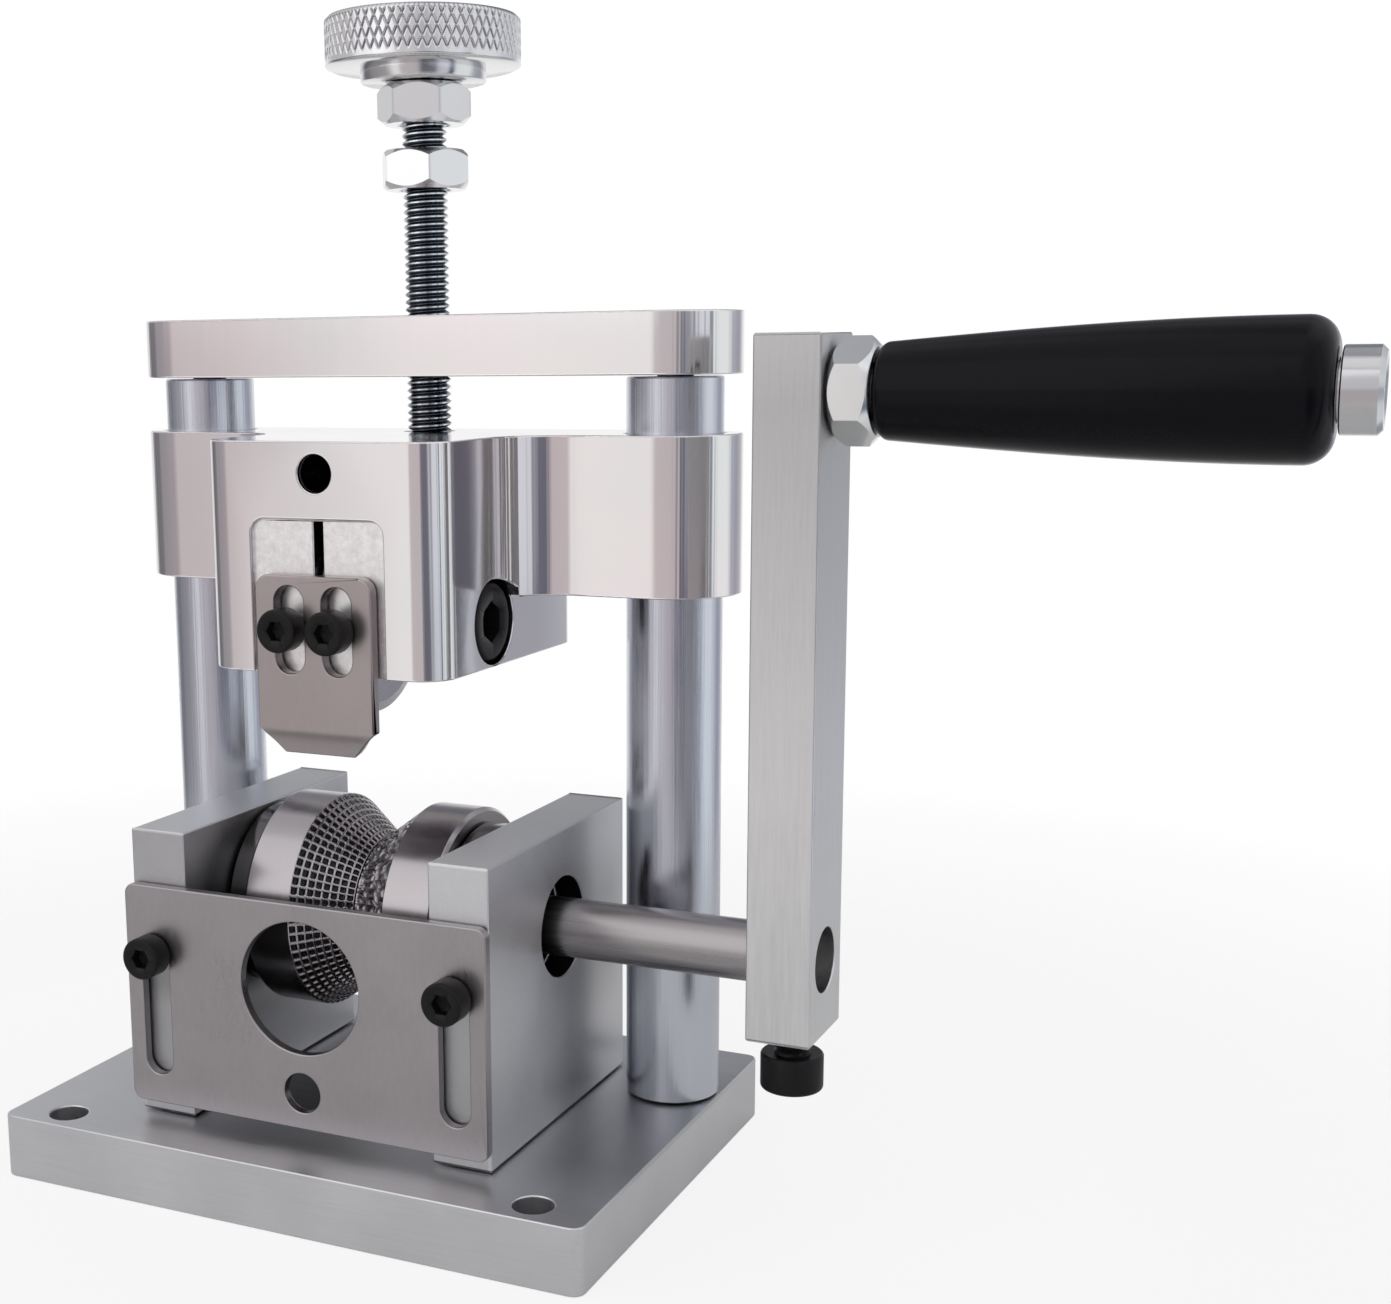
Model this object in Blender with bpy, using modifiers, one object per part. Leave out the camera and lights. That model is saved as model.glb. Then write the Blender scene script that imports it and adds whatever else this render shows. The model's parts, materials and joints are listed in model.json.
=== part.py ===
"""Hand crank wire stripper.

Two hardened wheels on a crank shaft pull the wire under a round blade. The blade hangs in a
carriage that slides on two posts and is set by a lead screw through the bridge.

X runs along the crank shaft towards the crank, Y to the back, Z up. The origin is the centre of
the base plate's underside. Lengths are in metres.
"""

from math import cos, pi, radians, sin, sqrt

import bmesh
import bpy
from mathutils import Matrix, Vector

# Fits shared by all pieces
SEAT_GAP = 0.0003
RUNNING_GAP = 0.0004
CUT_OVERRUN = 0.002
WELD_DISTANCE = 0.000001
SCREW_MERGE = 0.00001

# Base plate
BASE_DEPTH = 0.080
BASE_THICK = 0.011
BASE_CORNER_RADIUS = 0.002
MOUNT_HOLE_DIA = 0.0065
MOUNT_HOLE_INSET_X = 0.0101
MOUNT_HOLE_INSET_Y = 0.0052

# Posts and the bridge on them
POST_DIA = 0.016
POST_BACK = 0.0182
POST_FROM_CHEEK = 0.00435
POST_FROM_EDGE = 0.0003
BRIDGE_THICK = 0.0101
BRIDGE_EDGE = 0.0004
END_WALL = 0.00315

# Cheeks that carry the crank shaft
CHEEK_FROM_NOSE = 0.00075
CHEEK_THICK = 0.0105
CHEEK_DEPTH = 0.0532
CHEEK_ABOVE_SHAFT = 0.01645
CHEEK_EDGE = 0.0003
CHEEK_BEFORE_GUIDE = 0.0011
SHAFT_ABOVE_BASE = 0.03265
CHEEK_SCREW_FROM_FRONT = 0.0120
CHEEK_SCREW_FROM_BACK = 0.0120

# Ball bearings
BALL_SPACE = 0.0023
BEARING_WIDTH = 0.005
BEARING_SET_BACK = 0.0004
BEARING_LIP = 0.0010
RACE_WALL = 0.0010
CAGE_WIDTH = 0.0022
CAGE_WALL = 0.0007

# Crank shaft, wheels and collars
SHAFT_DIA = 0.0098
SHAFT_CHAMFER = 0.0006
SHAFT_END_IN_CHEEK = 0.0020
SHAFT_END_IN_ARM = 0.0030
WHEEL_DIA = 0.0370
WHEEL_RIM_WIDTH = 0.0090
WHEEL_RIM_CHAMFER = 0.0006
GROOVE_DIA = 0.0240
COLLAR_DIA = 0.0320
COLLAR_LENGTH = 0.0042
SET_SCREW_DIA = 0.0050
SET_SCREW_LENGTH = 0.0080

# Front guard
GUARD_OVERHANG = 0.00045
GUARD_THICK = 0.0018
GUARD_ABOVE_BASE = 0.0023
GUARD_CORNER_RADIUS = 0.0018
GUARD_HOLE_DIA = 0.0221
GUARD_HOLE_TOP_WALL = 0.00295
GUARD_SMALL_HOLE_DIA = 0.0067
GUARD_SMALL_HOLE_WALL = 0.00285
GUARD_HOLES_APART = 0.0033
GUARD_SLOT_WIDTH = 0.0054
GUARD_SLOT_BOTTOM_WALL = 0.0051
GUARD_SLOT_ABOVE_SCREW = 0.0031
GUARD_SCREW_FROM_TOP = 0.0115

# Carriage
CARRIAGE_BELOW_BRIDGE = 0.0095
WING_HEIGHT = 0.0262
NOSE_WIDTH = 0.0442
NOSE_BEFORE_BLADE = 0.0027
NOSE_CORNER_RADIUS = 0.0058
NOSE_FILLET_RADIUS = 0.0102
NOSE_REAR_RADIUS = 0.0030
POCKET_BESIDE_GUIDE = 0.0015
POCKET_ABOVE_SLIT = 0.0003
POCKET_DEPTH = 0.0008
POCKET_RADIUS = 0.0025
SLIT_WIDTH = 0.0017
SLIT_ABOVE_BLADE = 0.0011

# Blade and its axle
BLADE_DIA = 0.0324
BLADE_THICK = 0.0012
BLADE_BEVEL = 0.0016
BLADE_ABOVE_GROOVE = 0.02245
BLADE_FRONT = 0.0017
AXLE_DIA = 0.0080
AXLE_HEAD_DIA = 0.0130
AXLE_HEAD_HEIGHT = 0.0080
AXLE_HEAD_SUNK = 0.0003
AXLE_COUNTERBORE_GAP = 0.0005
AXLE_LOWER_WALL = 0.0004
AXLE_END_WALL = 0.0030
AXLE_SOCKET = 0.0060

# Guide plate on the carriage's nose
GUIDE_WIDTH = 0.0214
GUIDE_THICK = 0.0022
GUIDE_TOP_WALL = 0.0017
GUIDE_TOP_RADIUS = 0.0025
GUIDE_BELOW_SLOT = 0.0134
GUIDE_CHAMFER_RISE = 0.0044
GUIDE_LIP_WIDTH = 0.0130
GUIDE_LIP_HEIGHT = 0.0037
GUIDE_BEND_ANGLE = radians(19)
GUIDE_SLOT_WIDTH = 0.0054
GUIDE_SLOT_LENGTH = 0.0142
GUIDE_SLOT_BELOW_SCREW = 0.0074
GUIDE_SCREW_SPACING = 0.0088
GUIDE_SCREW_ABOVE_NOSE = 0.0077

# Lead screw, its nuts and knob
THREAD_DIA = 0.0080
THREAD_ROOT_SHARE = 0.96
LEAD_BORE_ABOVE_SLIT = 0.0011
LEAD_BORE_DEPTH = 0.0115
LEAD_NECK_DIA = 0.0050
LEAD_NECK_HEIGHT = 0.0064
LEAD_PIN_ABOVE_BORE = 0.0064
LEAD_PIN_HOLE_DIA = 0.0061
LEAD_PIN_LENGTH = 0.0100
NUT_FLATS = 0.0140
NUT_HEIGHT = 0.0065
NUT_CHAMFER = 0.0008
NUT_CHAMFER_RISE = 0.0006
STOP_NUT_ABOVE_BRIDGE = 0.0210
NUTS_APART = 0.0042
JAM_NUT_TURN = radians(-11)
STOP_NUT_TURN = radians(33)
KNOB_DIA = 0.0330
KNOB_HUB_DIA = 0.0212
KNOB_HUB_HEIGHT = 0.0022
KNOB_HEAD_HEIGHT = 0.0083
KNOB_TOP_CHAMFER = 0.0007
KNOB_BOTTOM_CHAMFER = 0.0008
KNOB_BOTTOM_CHAMFER_RISE = 0.0005
KNOB_BORE_DEPTH = 0.0080

# Crank arm and its clamp screw
ARM_BESIDE_BASE = 0.0139
ARM_THICK = 0.0104
ARM_WIDTH = 0.0158
ARM_BELOW_SHAFT = 0.01215
ARM_ABOVE_HANDLE = 0.0085
ARM_EDGE = 0.0003
CRANK_RADIUS = 0.08765
ARM_SHAFT_BORE_GAP = 0.0003
CLAMP_SCREW_SHOWN = 0.0036

# Handle
HANDLE_NUT_FLATS = 0.0140
HANDLE_NUT_HEIGHT = 0.0062
HANDLE_NUT_TURN = radians(30)
SPINDLE_DIA = 0.0080
SPINDLE_HEAD_DIA = 0.0120
SPINDLE_HEAD_HEIGHT = 0.0054
SPINDLE_HEAD_CHAMFER = 0.0007
SPINDLE_SOCKET = 0.0060
SPINDLE_SOCKET_DEPTH = 0.0030
GRIP_LENGTH = 0.0616
GRIP_NECK_DIA = 0.0144
GRIP_BELLY_DIA = 0.0200
GRIP_NECK_ROUNDING = 0.0014
GRIP_END_ROUNDING = 0.0040
GRIP_BELLY_SHARE = 0.93
GRIP_BORE_GAP = 0.0004

# Socket head screws by thread: diameter, head diameter, head height, key size
M4 = (0.004, 0.0070, 0.0040, 0.0030)
M5 = (0.005, 0.0085, 0.0050, 0.0040)
M6 = (0.006, 0.0100, 0.0060, 0.0050)
HEAD_EDGE = 0.0004
SOCKET_DEPTH_SHARE = 0.5
GUARD_SCREW_GRIP = 0.0120
GUIDE_SCREW_GRIP = 0.0090
POST_SCREW_GRIP = 0.0200
CHEEK_SCREW_GRIP = 0.0160
COUNTERBORE_COVER = 0.0006

# Facets around round pieces
ROUND_FINE = 48
ROUND = 32
ROUND_SMALL = 20
CORNER_STEPS = 5
GRIP_STEPS = 9
BALL_COUNT = 9
BALL_SEGMENTS = 8
BALL_RINGS = 6

# Turns that lay a piece's own Z axis along another direction
FACE_UP = (0, 0, 0)
FACE_DOWN = (pi, 0, 0)
FACE_FRONT = (pi / 2, 0, 0)
FACE_RIGHT = (0, pi / 2, 0)

# Places worked out from the sizes above, from the carriage's front outwards
SIDES = (("left", -1), ("right", 1))
NOSE_SIDE = NOSE_WIDTH / 2
NOSE_FRONT = BLADE_DIA / 2 + BLADE_FRONT + NOSE_BEFORE_BLADE
GUIDE_BACK = -NOSE_FRONT + POCKET_DEPTH - SEAT_GAP
GUIDE_FRONT = GUIDE_BACK - GUIDE_THICK
CHEEK_FRONT = -GUIDE_FRONT + SEAT_GAP + M4[2] + CHEEK_BEFORE_GUIDE
CHEEK_BACK = CHEEK_DEPTH - CHEEK_FRONT
CHEEK_INNER = NOSE_SIDE + CHEEK_FROM_NOSE
CHEEK_OUTER = CHEEK_INNER + CHEEK_THICK
CHEEK_MIDDLE = CHEEK_INNER + CHEEK_THICK / 2
POST_X = CHEEK_OUTER + POST_FROM_CHEEK + POST_DIA / 2
BASE_WIDTH = 2 * (POST_X + POST_DIA / 2 + POST_FROM_EDGE)
ARM_INNER_FACE = BASE_WIDTH / 2 + ARM_BESIDE_BASE
ARM_OUTER_FACE = ARM_INNER_FACE + ARM_THICK
END_RADIUS = POST_DIA / 2 + END_WALL
WING_FRONT = POST_BACK - END_RADIUS
CARRIAGE_REAR = POST_BACK + END_RADIUS
BEARING_INNER_FACE = CHEEK_INNER + BEARING_SET_BACK
BEARING_BORE = SHAFT_DIA + 2 * SEAT_GAP
BEARING_OUTER_DIA = BEARING_BORE + 2 * (2 * RACE_WALL + BALL_SPACE)
LEAD_AXIS = Vector((0, POST_BACK, 0))

# Heights, from the base upwards
BASE_TOP = BASE_THICK + SEAT_GAP
SHAFT_HEIGHT = BASE_TOP + SHAFT_ABOVE_BASE
CHEEK_TOP = SHAFT_HEIGHT + CHEEK_ABOVE_SHAFT
HANDLE_HEIGHT = SHAFT_HEIGHT + CRANK_RADIUS
BLADE_HEIGHT = SHAFT_HEIGHT + GROOVE_DIA / 2 + BLADE_ABOVE_GROOVE + BLADE_DIA / 2
AXLE_COUNTERBORE_DIA = AXLE_HEAD_DIA + 2 * AXLE_COUNTERBORE_GAP
NOSE_BOTTOM = BLADE_HEIGHT - AXLE_COUNTERBORE_DIA / 2 - AXLE_LOWER_WALL
SLIT_TOP = BLADE_HEIGHT + BLADE_DIA / 2 + SLIT_ABOVE_BLADE
LEAD_BORE_BOTTOM = SLIT_TOP + LEAD_BORE_ABOVE_SLIT
LEAD_PIN_HEIGHT = LEAD_BORE_BOTTOM + LEAD_PIN_ABOVE_BORE
CARRIAGE_TOP = LEAD_BORE_BOTTOM + LEAD_BORE_DEPTH
NOSE_HEIGHT = CARRIAGE_TOP - NOSE_BOTTOM
WING_BOTTOM = CARRIAGE_TOP - WING_HEIGHT
BRIDGE_BOTTOM = CARRIAGE_TOP + CARRIAGE_BELOW_BRIDGE
BRIDGE_TOP = BRIDGE_BOTTOM + BRIDGE_THICK
POST_LENGTH = BRIDGE_BOTTOM - SEAT_GAP - BASE_TOP
STOP_NUT_BOTTOM = BRIDGE_TOP + STOP_NUT_ABOVE_BRIDGE
JAM_NUT_BOTTOM = STOP_NUT_BOTTOM + NUT_HEIGHT + NUTS_APART
GUARD_BOTTOM = BASE_TOP + GUARD_ABOVE_BASE
GUARD_SMALL_HOLE_HEIGHT = GUARD_BOTTOM + GUARD_SMALL_HOLE_WALL + GUARD_SMALL_HOLE_DIA / 2
GUARD_HOLES_PITCH = (GUARD_SMALL_HOLE_DIA + GUARD_HOLE_DIA) / 2 + GUARD_HOLES_APART
GUARD_HOLE_HEIGHT = GUARD_SMALL_HOLE_HEIGHT + GUARD_HOLES_PITCH
GUARD_TOP = GUARD_HOLE_HEIGHT + GUARD_HOLE_DIA / 2 + GUARD_HOLE_TOP_WALL
GUARD_SCREW_HEIGHT = GUARD_TOP - GUARD_SCREW_FROM_TOP
GUIDE_SCREW_HEIGHT = NOSE_BOTTOM + GUIDE_SCREW_ABOVE_NOSE
GUIDE_SLOT_BOTTOM = GUIDE_SCREW_HEIGHT - GUIDE_SLOT_BELOW_SCREW
GUIDE_TOP = GUIDE_SLOT_BOTTOM + GUIDE_SLOT_LENGTH + GUIDE_TOP_WALL
GUIDE_BOTTOM = GUIDE_SLOT_BOTTOM - GUIDE_BELOW_SLOT
GUIDE_BEND_HEIGHT = GUIDE_BOTTOM + GUIDE_LIP_HEIGHT


def clear_scene():
    """Removes what the startup file holds."""
    for obj in list(bpy.data.objects):
        bpy.data.objects.remove(obj, do_unlink=True)


def new_collection(name):
    collection = bpy.data.collections.new(name)
    bpy.context.scene.collection.children.link(collection)
    return collection


clear_scene()
PARTS = new_collection("hand_crank_wire_stripper")
CUTTERS = new_collection("cutters")


def new_material(name, colour, roughness, metallic):
    material = bpy.data.materials.new(name)
    material.use_nodes = True
    shader = material.node_tree.nodes["Principled BSDF"]
    shader.inputs["Base Color"].default_value = (*colour, 1)
    shader.inputs["Roughness"].default_value = roughness
    shader.inputs["Metallic"].default_value = metallic
    material.diffuse_color = (*colour, 1)
    return material


SATIN_ALUMINIUM = new_material("satin_aluminium", (0.60, 0.60, 0.62), 0.42, 1.0)
MILLED_ALUMINIUM = new_material("milled_aluminium", (0.78, 0.77, 0.76), 0.22, 1.0)
GROUND_STEEL = new_material("ground_steel", (0.42, 0.44, 0.50), 0.18, 1.0)
SATIN_STAINLESS = new_material("satin_stainless", (0.42, 0.40, 0.39), 0.38, 1.0)
WHEEL_STEEL = new_material("hardened_wheel_steel", (0.45, 0.44, 0.44), 0.30, 1.0)
SHAFT_STEEL = new_material("shaft_steel", (0.33, 0.32, 0.33), 0.30, 1.0)
BLACK_OXIDE = new_material("black_oxide", (0.025, 0.025, 0.028), 0.45, 0.6)
BRIGHT_ZINC = new_material("bright_zinc", (0.72, 0.73, 0.74), 0.25, 1.0)
THREAD_STEEL = new_material("thread_steel", (0.30, 0.31, 0.34), 0.35, 1.0)
BEARING_STEEL = new_material("bearing_steel", (0.50, 0.50, 0.52), 0.15, 1.0)
BLADE_STEEL = new_material("blade_steel", (0.50, 0.49, 0.50), 0.25, 1.0)
GLOSSY_GRIP = new_material("glossy_black_grip", (0.012, 0.012, 0.014), 0.18, 0.0)


def finish(obj, material):
    """Puts an object among the parts, or among the cutters where it has no material."""
    if material is None:
        CUTTERS.objects.link(obj)
        obj.hide_render = True
        obj.display_type = "WIRE"
        return obj
    PARTS.objects.link(obj)
    obj.data.materials.append(material)
    return obj


def smooth(mesh):
    mesh.shade_smooth()
    mesh.set_sharp_from_angle(angle=radians(35))


def from_bmesh(name, bm, material, location, rotation):
    mesh = bpy.data.meshes.new(name)
    bm.to_mesh(mesh)
    bm.free()
    smooth(mesh)
    obj = bpy.data.objects.new(name, mesh)
    obj.location = location
    obj.rotation_euler = rotation
    return finish(obj, material)


def block(name, low, high, material=None):
    """A box between two opposite corners, with its origin at its centre."""
    size = Vector(high) - Vector(low)
    bm = bmesh.new()
    bmesh.ops.create_cube(bm, size=1)
    bmesh.ops.scale(bm, vec=size, verts=bm.verts)
    return from_bmesh(name, bm, material, (Vector(low) + Vector(high)) / 2, FACE_UP)


def rod(name, radius, length, start, rotation, segments=ROUND, material=None):
    """A cylinder that runs from start along its own Z axis."""
    bm = bmesh.new()
    lift = Matrix.Translation((0, 0, length / 2))
    bmesh.ops.create_cone(
        bm,
        cap_ends=True,
        segments=segments,
        radius1=radius,
        radius2=radius,
        depth=length,
        matrix=lift,
    )
    return from_bmesh(name, bm, material, start, rotation)


def turned(name, profile, location, rotation, material=None, steps=ROUND, closed=False):
    """A lathe shape. The profile is (radius, height), down the outer side from top to bottom."""
    mesh = bpy.data.meshes.new(name)
    last = len(profile) - 1
    edges = [(i, i + 1) for i in range(last)]
    if closed:
        edges.append((last, 0))
    mesh.from_pydata([(radius, 0, height) for radius, height in profile], edges, [])
    obj = bpy.data.objects.new(name, mesh)
    obj.location = location
    obj.rotation_euler = rotation
    screw = obj.modifiers.new("Screw", "SCREW")
    screw.steps = steps
    screw.render_steps = steps
    screw.use_merge_vertices = True
    screw.merge_threshold = SCREW_MERGE
    screw.use_smooth_shade = True
    return finish(obj, material)


def ring(name, inner, outer, low, high, location, rotation, material=None, steps=ROUND):
    """A plain sleeve between two radii and two heights."""
    profile = [(inner, high), (outer, high), (outer, low), (inner, low)]
    return turned(name, profile, location, rotation, material, steps, closed=True)


def plate(name, loops, thickness, location, rotation, material=None):
    """A flat outline with holes, made solid to both sides of its plane."""
    curve = bpy.data.curves.new(name, "CURVE")
    curve.dimensions = "2D"
    curve.fill_mode = "BOTH"
    curve.extrude = thickness / 2
    for loop in loops:
        spline = curve.splines.new("POLY")
        spline.points.add(len(loop) - 1)
        for point, place in zip(spline.points, loop):
            point.co = (place[0], place[1], 0, 1)
        spline.use_cyclic_u = True
    guide = bpy.data.objects.new(name + "_outline", curve)
    bpy.context.scene.collection.objects.link(guide)
    bpy.context.view_layer.update()
    graph = bpy.context.evaluated_depsgraph_get()
    mesh = bpy.data.meshes.new_from_object(guide.evaluated_get(graph))
    bpy.data.objects.remove(guide, do_unlink=True)
    bm = bmesh.new()
    bm.from_mesh(mesh)
    bmesh.ops.remove_doubles(bm, verts=bm.verts, dist=WELD_DISTANCE)
    bmesh.ops.recalc_face_normals(bm, faces=bm.faces)
    bm.to_mesh(mesh)
    bm.free()
    mesh.name = name
    obj = bpy.data.objects.new(name, mesh)
    obj.location = location
    obj.rotation_euler = rotation
    return finish(obj, material)


def prism(name, outline, thickness, location, material=None):
    """A level outline without holes, made solid to both sides of its plane."""
    bm = bmesh.new()
    corners = [bm.verts.new((x, y, -thickness / 2)) for x, y in outline]
    face = bm.faces.new(corners)
    made = bmesh.ops.extrude_face_region(bm, geom=[face])["geom"]
    raised = [item for item in made if isinstance(item, bmesh.types.BMVert)]
    bmesh.ops.translate(bm, vec=(0, 0, thickness), verts=raised)
    bmesh.ops.recalc_face_normals(bm, faces=bm.faces)
    return from_bmesh(name, bm, material, location, FACE_UP)


def arc(centre, radius, start, end, steps=CORNER_STEPS):
    """Points on an arc, both ends included."""
    places = []
    for i in range(steps + 1):
        angle = start + (end - start) * i / steps
        places.append((centre[0] + radius * cos(angle), centre[1] + radius * sin(angle)))
    return places


def circle(centre, radius, steps=ROUND):
    return arc(centre, radius, 0, 2 * pi * (steps - 1) / steps, steps - 1)


def rounded_rectangle(low, high, radius, steps=CORNER_STEPS):
    """Corner arcs from the lower right corner, counter-clockwise."""
    places = arc((high[0] - radius, low[1] + radius), radius, -pi / 2, 0, steps)
    places += arc((high[0] - radius, high[1] - radius), radius, 0, pi / 2, steps)
    places += arc((low[0] + radius, high[1] - radius), radius, pi / 2, pi, steps)
    places += arc((low[0] + radius, low[1] + radius), radius, pi, 3 * pi / 2, steps)
    return places


def slot(x, bottom, top, width, steps=2 * CORNER_STEPS):
    """An upright slot with round ends."""
    radius = width / 2
    upper = arc((x, top - radius), radius, 0, pi, steps)
    return upper + arc((x, bottom + radius), radius, pi, 2 * pi, steps)


def mirrored(half):
    """A half outline from the front to the back at +X, closed by its mirror image."""
    other = [(-x, y) for x, y in reversed(half) if x > 0]
    return half + other


def combine(obj, other, operation):
    boolean = obj.modifiers.new(other.name, "BOOLEAN")
    boolean.operation = operation
    boolean.solver = "EXACT"
    boolean.object = other
    return obj


def cut(obj, *cutters):
    for cutter in cutters:
        combine(obj, cutter, "DIFFERENCE")
    return obj


def bevel(obj, width):
    """A small chamfer on the sharp edges of a plain block or plate."""
    modifier = obj.modifiers.new("Edges", "BEVEL")
    modifier.width = width
    modifier.segments = 1
    modifier.limit_method = "ANGLE"
    modifier.angle_limit = radians(50)
    return obj


def hexagon(name, flats, length, start, rotation, material=None, turn=0):
    """A hexagonal bar that runs from start along its own Z axis."""
    bm = bmesh.new()
    place = Matrix.Translation((0, 0, length / 2)) @ Matrix.Rotation(turn, 4, "Z")
    bmesh.ops.create_cone(
        bm,
        cap_ends=True,
        segments=6,
        radius1=flats / sqrt(3),
        radius2=flats / sqrt(3),
        depth=length,
        matrix=place,
    )
    return from_bmesh(name, bm, material, start, rotation)


def cap_screw(name, sizes, grip, seat, rotation, material=BLACK_OXIDE):
    """A socket head screw. Its head stands on seat and faces along its own Z axis."""
    thread, head_dia, head_height, key = sizes
    head = head_dia / 2
    shank = thread / 2
    profile = [
        (0, head_height),
        (head - HEAD_EDGE, head_height),
        (head, head_height - HEAD_EDGE),
        (head, 0),
        (shank, 0),
        (shank, -grip),
        (0, -grip),
    ]
    screw = turned(name, profile, seat, rotation, material, ROUND_SMALL)
    depth = head_height * SOCKET_DEPTH_SHARE
    up = Vector((0, 0, head_height - depth))
    up.rotate(screw.rotation_euler)
    socket = hexagon(name + "_socket", key, depth + CUT_OVERRUN, Vector(seat) + up, rotation)
    return cut(screw, socket)


def hex_nut(name, flats, height, bottom, rotation, turn, bore, material=BRIGHT_ZINC):
    """A hexagon whose corners are chamfered at both ends, with a plain bore."""
    nut = hexagon(name, flats, height, bottom, rotation, material, turn)
    wide = flats / sqrt(3) + NUT_CHAMFER / 2
    narrow = wide - NUT_CHAMFER
    rise = NUT_CHAMFER_RISE
    profile = [
        (0, height),
        (narrow, height),
        (wide, height - rise),
        (wide, rise),
        (narrow, 0),
        (0, 0),
    ]
    corners = turned(name + "_corners", profile, bottom, rotation)
    combine(nut, corners, "INTERSECT")
    down = Vector((0, 0, -CUT_OVERRUN))
    down.rotate(nut.rotation_euler)
    start = Vector(bottom) + down
    hole = rod(name + "_bore", bore / 2, height + 2 * CUT_OVERRUN, start, rotation, ROUND_SMALL)
    return cut(nut, hole)


def bore_for(sizes):
    """The bore that leaves a seat gap round a screw's shank."""
    return sizes[0] / 2 + SEAT_GAP


def counterbore_for(sizes):
    return sizes[1] / 2 + SEAT_GAP


def counterbore_depth(sizes):
    return sizes[2] + COUNTERBORE_COVER


def axis_empty(name, location, parent=None):
    """An empty on a joint's axis, which carries the pieces that move on it."""
    empty = bpy.data.objects.new(name, None)
    empty.empty_display_size = POST_DIA
    empty.location = location
    PARTS.objects.link(empty)
    empty["world"] = list(location)
    if parent is not None:
        attach(parent, empty)
    return empty


def attach(empty, *objects):
    """Hangs objects on an empty without moving them."""
    away = Matrix.Translation(-Vector(empty["world"]))
    for obj in objects:
        obj.parent = empty
        obj.matrix_parent_inverse = away


# The frame that stays still


def make_base():
    half = (BASE_WIDTH / 2, BASE_DEPTH / 2)
    outline = rounded_rectangle((-half[0], -half[1]), half, BASE_CORNER_RADIUS, CORNER_STEPS - 2)
    hole_x = half[0] - MOUNT_HOLE_INSET_X
    hole_y = half[1] - MOUNT_HOLE_INSET_Y
    base = prism("base_plate", outline, BASE_THICK, (0, 0, BASE_THICK / 2), SATIN_ALUMINIUM)
    bevel(base, CHEEK_EDGE)
    reach = BASE_THICK + 2 * CUT_OVERRUN
    for side_name, side in SIDES:
        for end_name, end in (("front", -1), ("back", 1)):
            name = "mount_hole_" + side_name + "_" + end_name
            below = (side * hole_x, end * hole_y, -CUT_OVERRUN)
            cut(base, rod(name, MOUNT_HOLE_DIA / 2, reach, below, FACE_UP, ROUND_SMALL))
    for side_name, side in SIDES:
        place = Vector((side * POST_X, POST_BACK, 0))
        sink_screw(base, "post_base_screw_" + side_name, M6, POST_SCREW_GRIP, place)
        for end_name, y in cheek_screw_rows():
            place = Vector((side * CHEEK_MIDDLE, y, 0))
            name = "cheek_screw_" + side_name + "_" + end_name
            sink_screw(base, name, M5, CHEEK_SCREW_GRIP, place)
    return base


def cheek_screw_rows():
    front = -CHEEK_FRONT + CHEEK_SCREW_FROM_FRONT
    back = CHEEK_BACK - CHEEK_SCREW_FROM_BACK
    return (("front", front), ("back", back))


def sink_screw(base, name, sizes, grip, place):
    """A screw up through the base, with its head sunk in the underside."""
    depth = counterbore_depth(sizes)
    below = place - Vector((0, 0, CUT_OVERRUN))
    reach = BASE_THICK + 2 * CUT_OVERRUN
    shank = rod(name + "_hole", bore_for(sizes), reach, below, FACE_UP, ROUND_SMALL)
    wide = counterbore_for(sizes)
    head = rod(name + "_sink", wide, depth + CUT_OVERRUN, below, FACE_UP, ROUND_SMALL)
    cut(base, shank, head)
    seat = place + Vector((0, 0, depth - SEAT_GAP))
    cap_screw(name, sizes, grip, seat, FACE_DOWN)


def tap_depth(sizes, grip, thick):
    """The depth of a tap, from a start outside it, for a screw sunk in a plate that thick."""
    reach = counterbore_depth(sizes) - SEAT_GAP + grip - thick - SEAT_GAP
    return reach + SEAT_GAP + CUT_OVERRUN


def make_posts():
    """Two ground posts, tapped at both ends."""
    for side_name, side in SIDES:
        foot = Vector((side * POST_X, POST_BACK, BASE_TOP))
        name = "post_" + side_name
        post = rod(name, POST_DIA / 2, POST_LENGTH, foot, FACE_UP, ROUND_FINE, GROUND_STEEL)
        start = foot - Vector((0, 0, CUT_OVERRUN))
        depth = tap_depth(M6, POST_SCREW_GRIP, BASE_THICK)
        lower = rod(name + "_lower_tap", bore_for(M6), depth, start, FACE_UP, ROUND_SMALL)
        top = foot + Vector((0, 0, POST_LENGTH + CUT_OVERRUN))
        depth = tap_depth(M6, POST_SCREW_GRIP, BRIDGE_THICK)
        upper = rod(name + "_upper_tap", bore_for(M6), depth, top, FACE_DOWN, ROUND_SMALL)
        cut(post, lower, upper)


def rounded_bar():
    """The outline of a bar whose ends are round about the posts."""
    steps = 3 * CORNER_STEPS
    right = arc((POST_X, POST_BACK), END_RADIUS, -pi / 2, pi / 2, steps)
    return right + arc((-POST_X, POST_BACK), END_RADIUS, pi / 2, 3 * pi / 2, steps)


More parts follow.
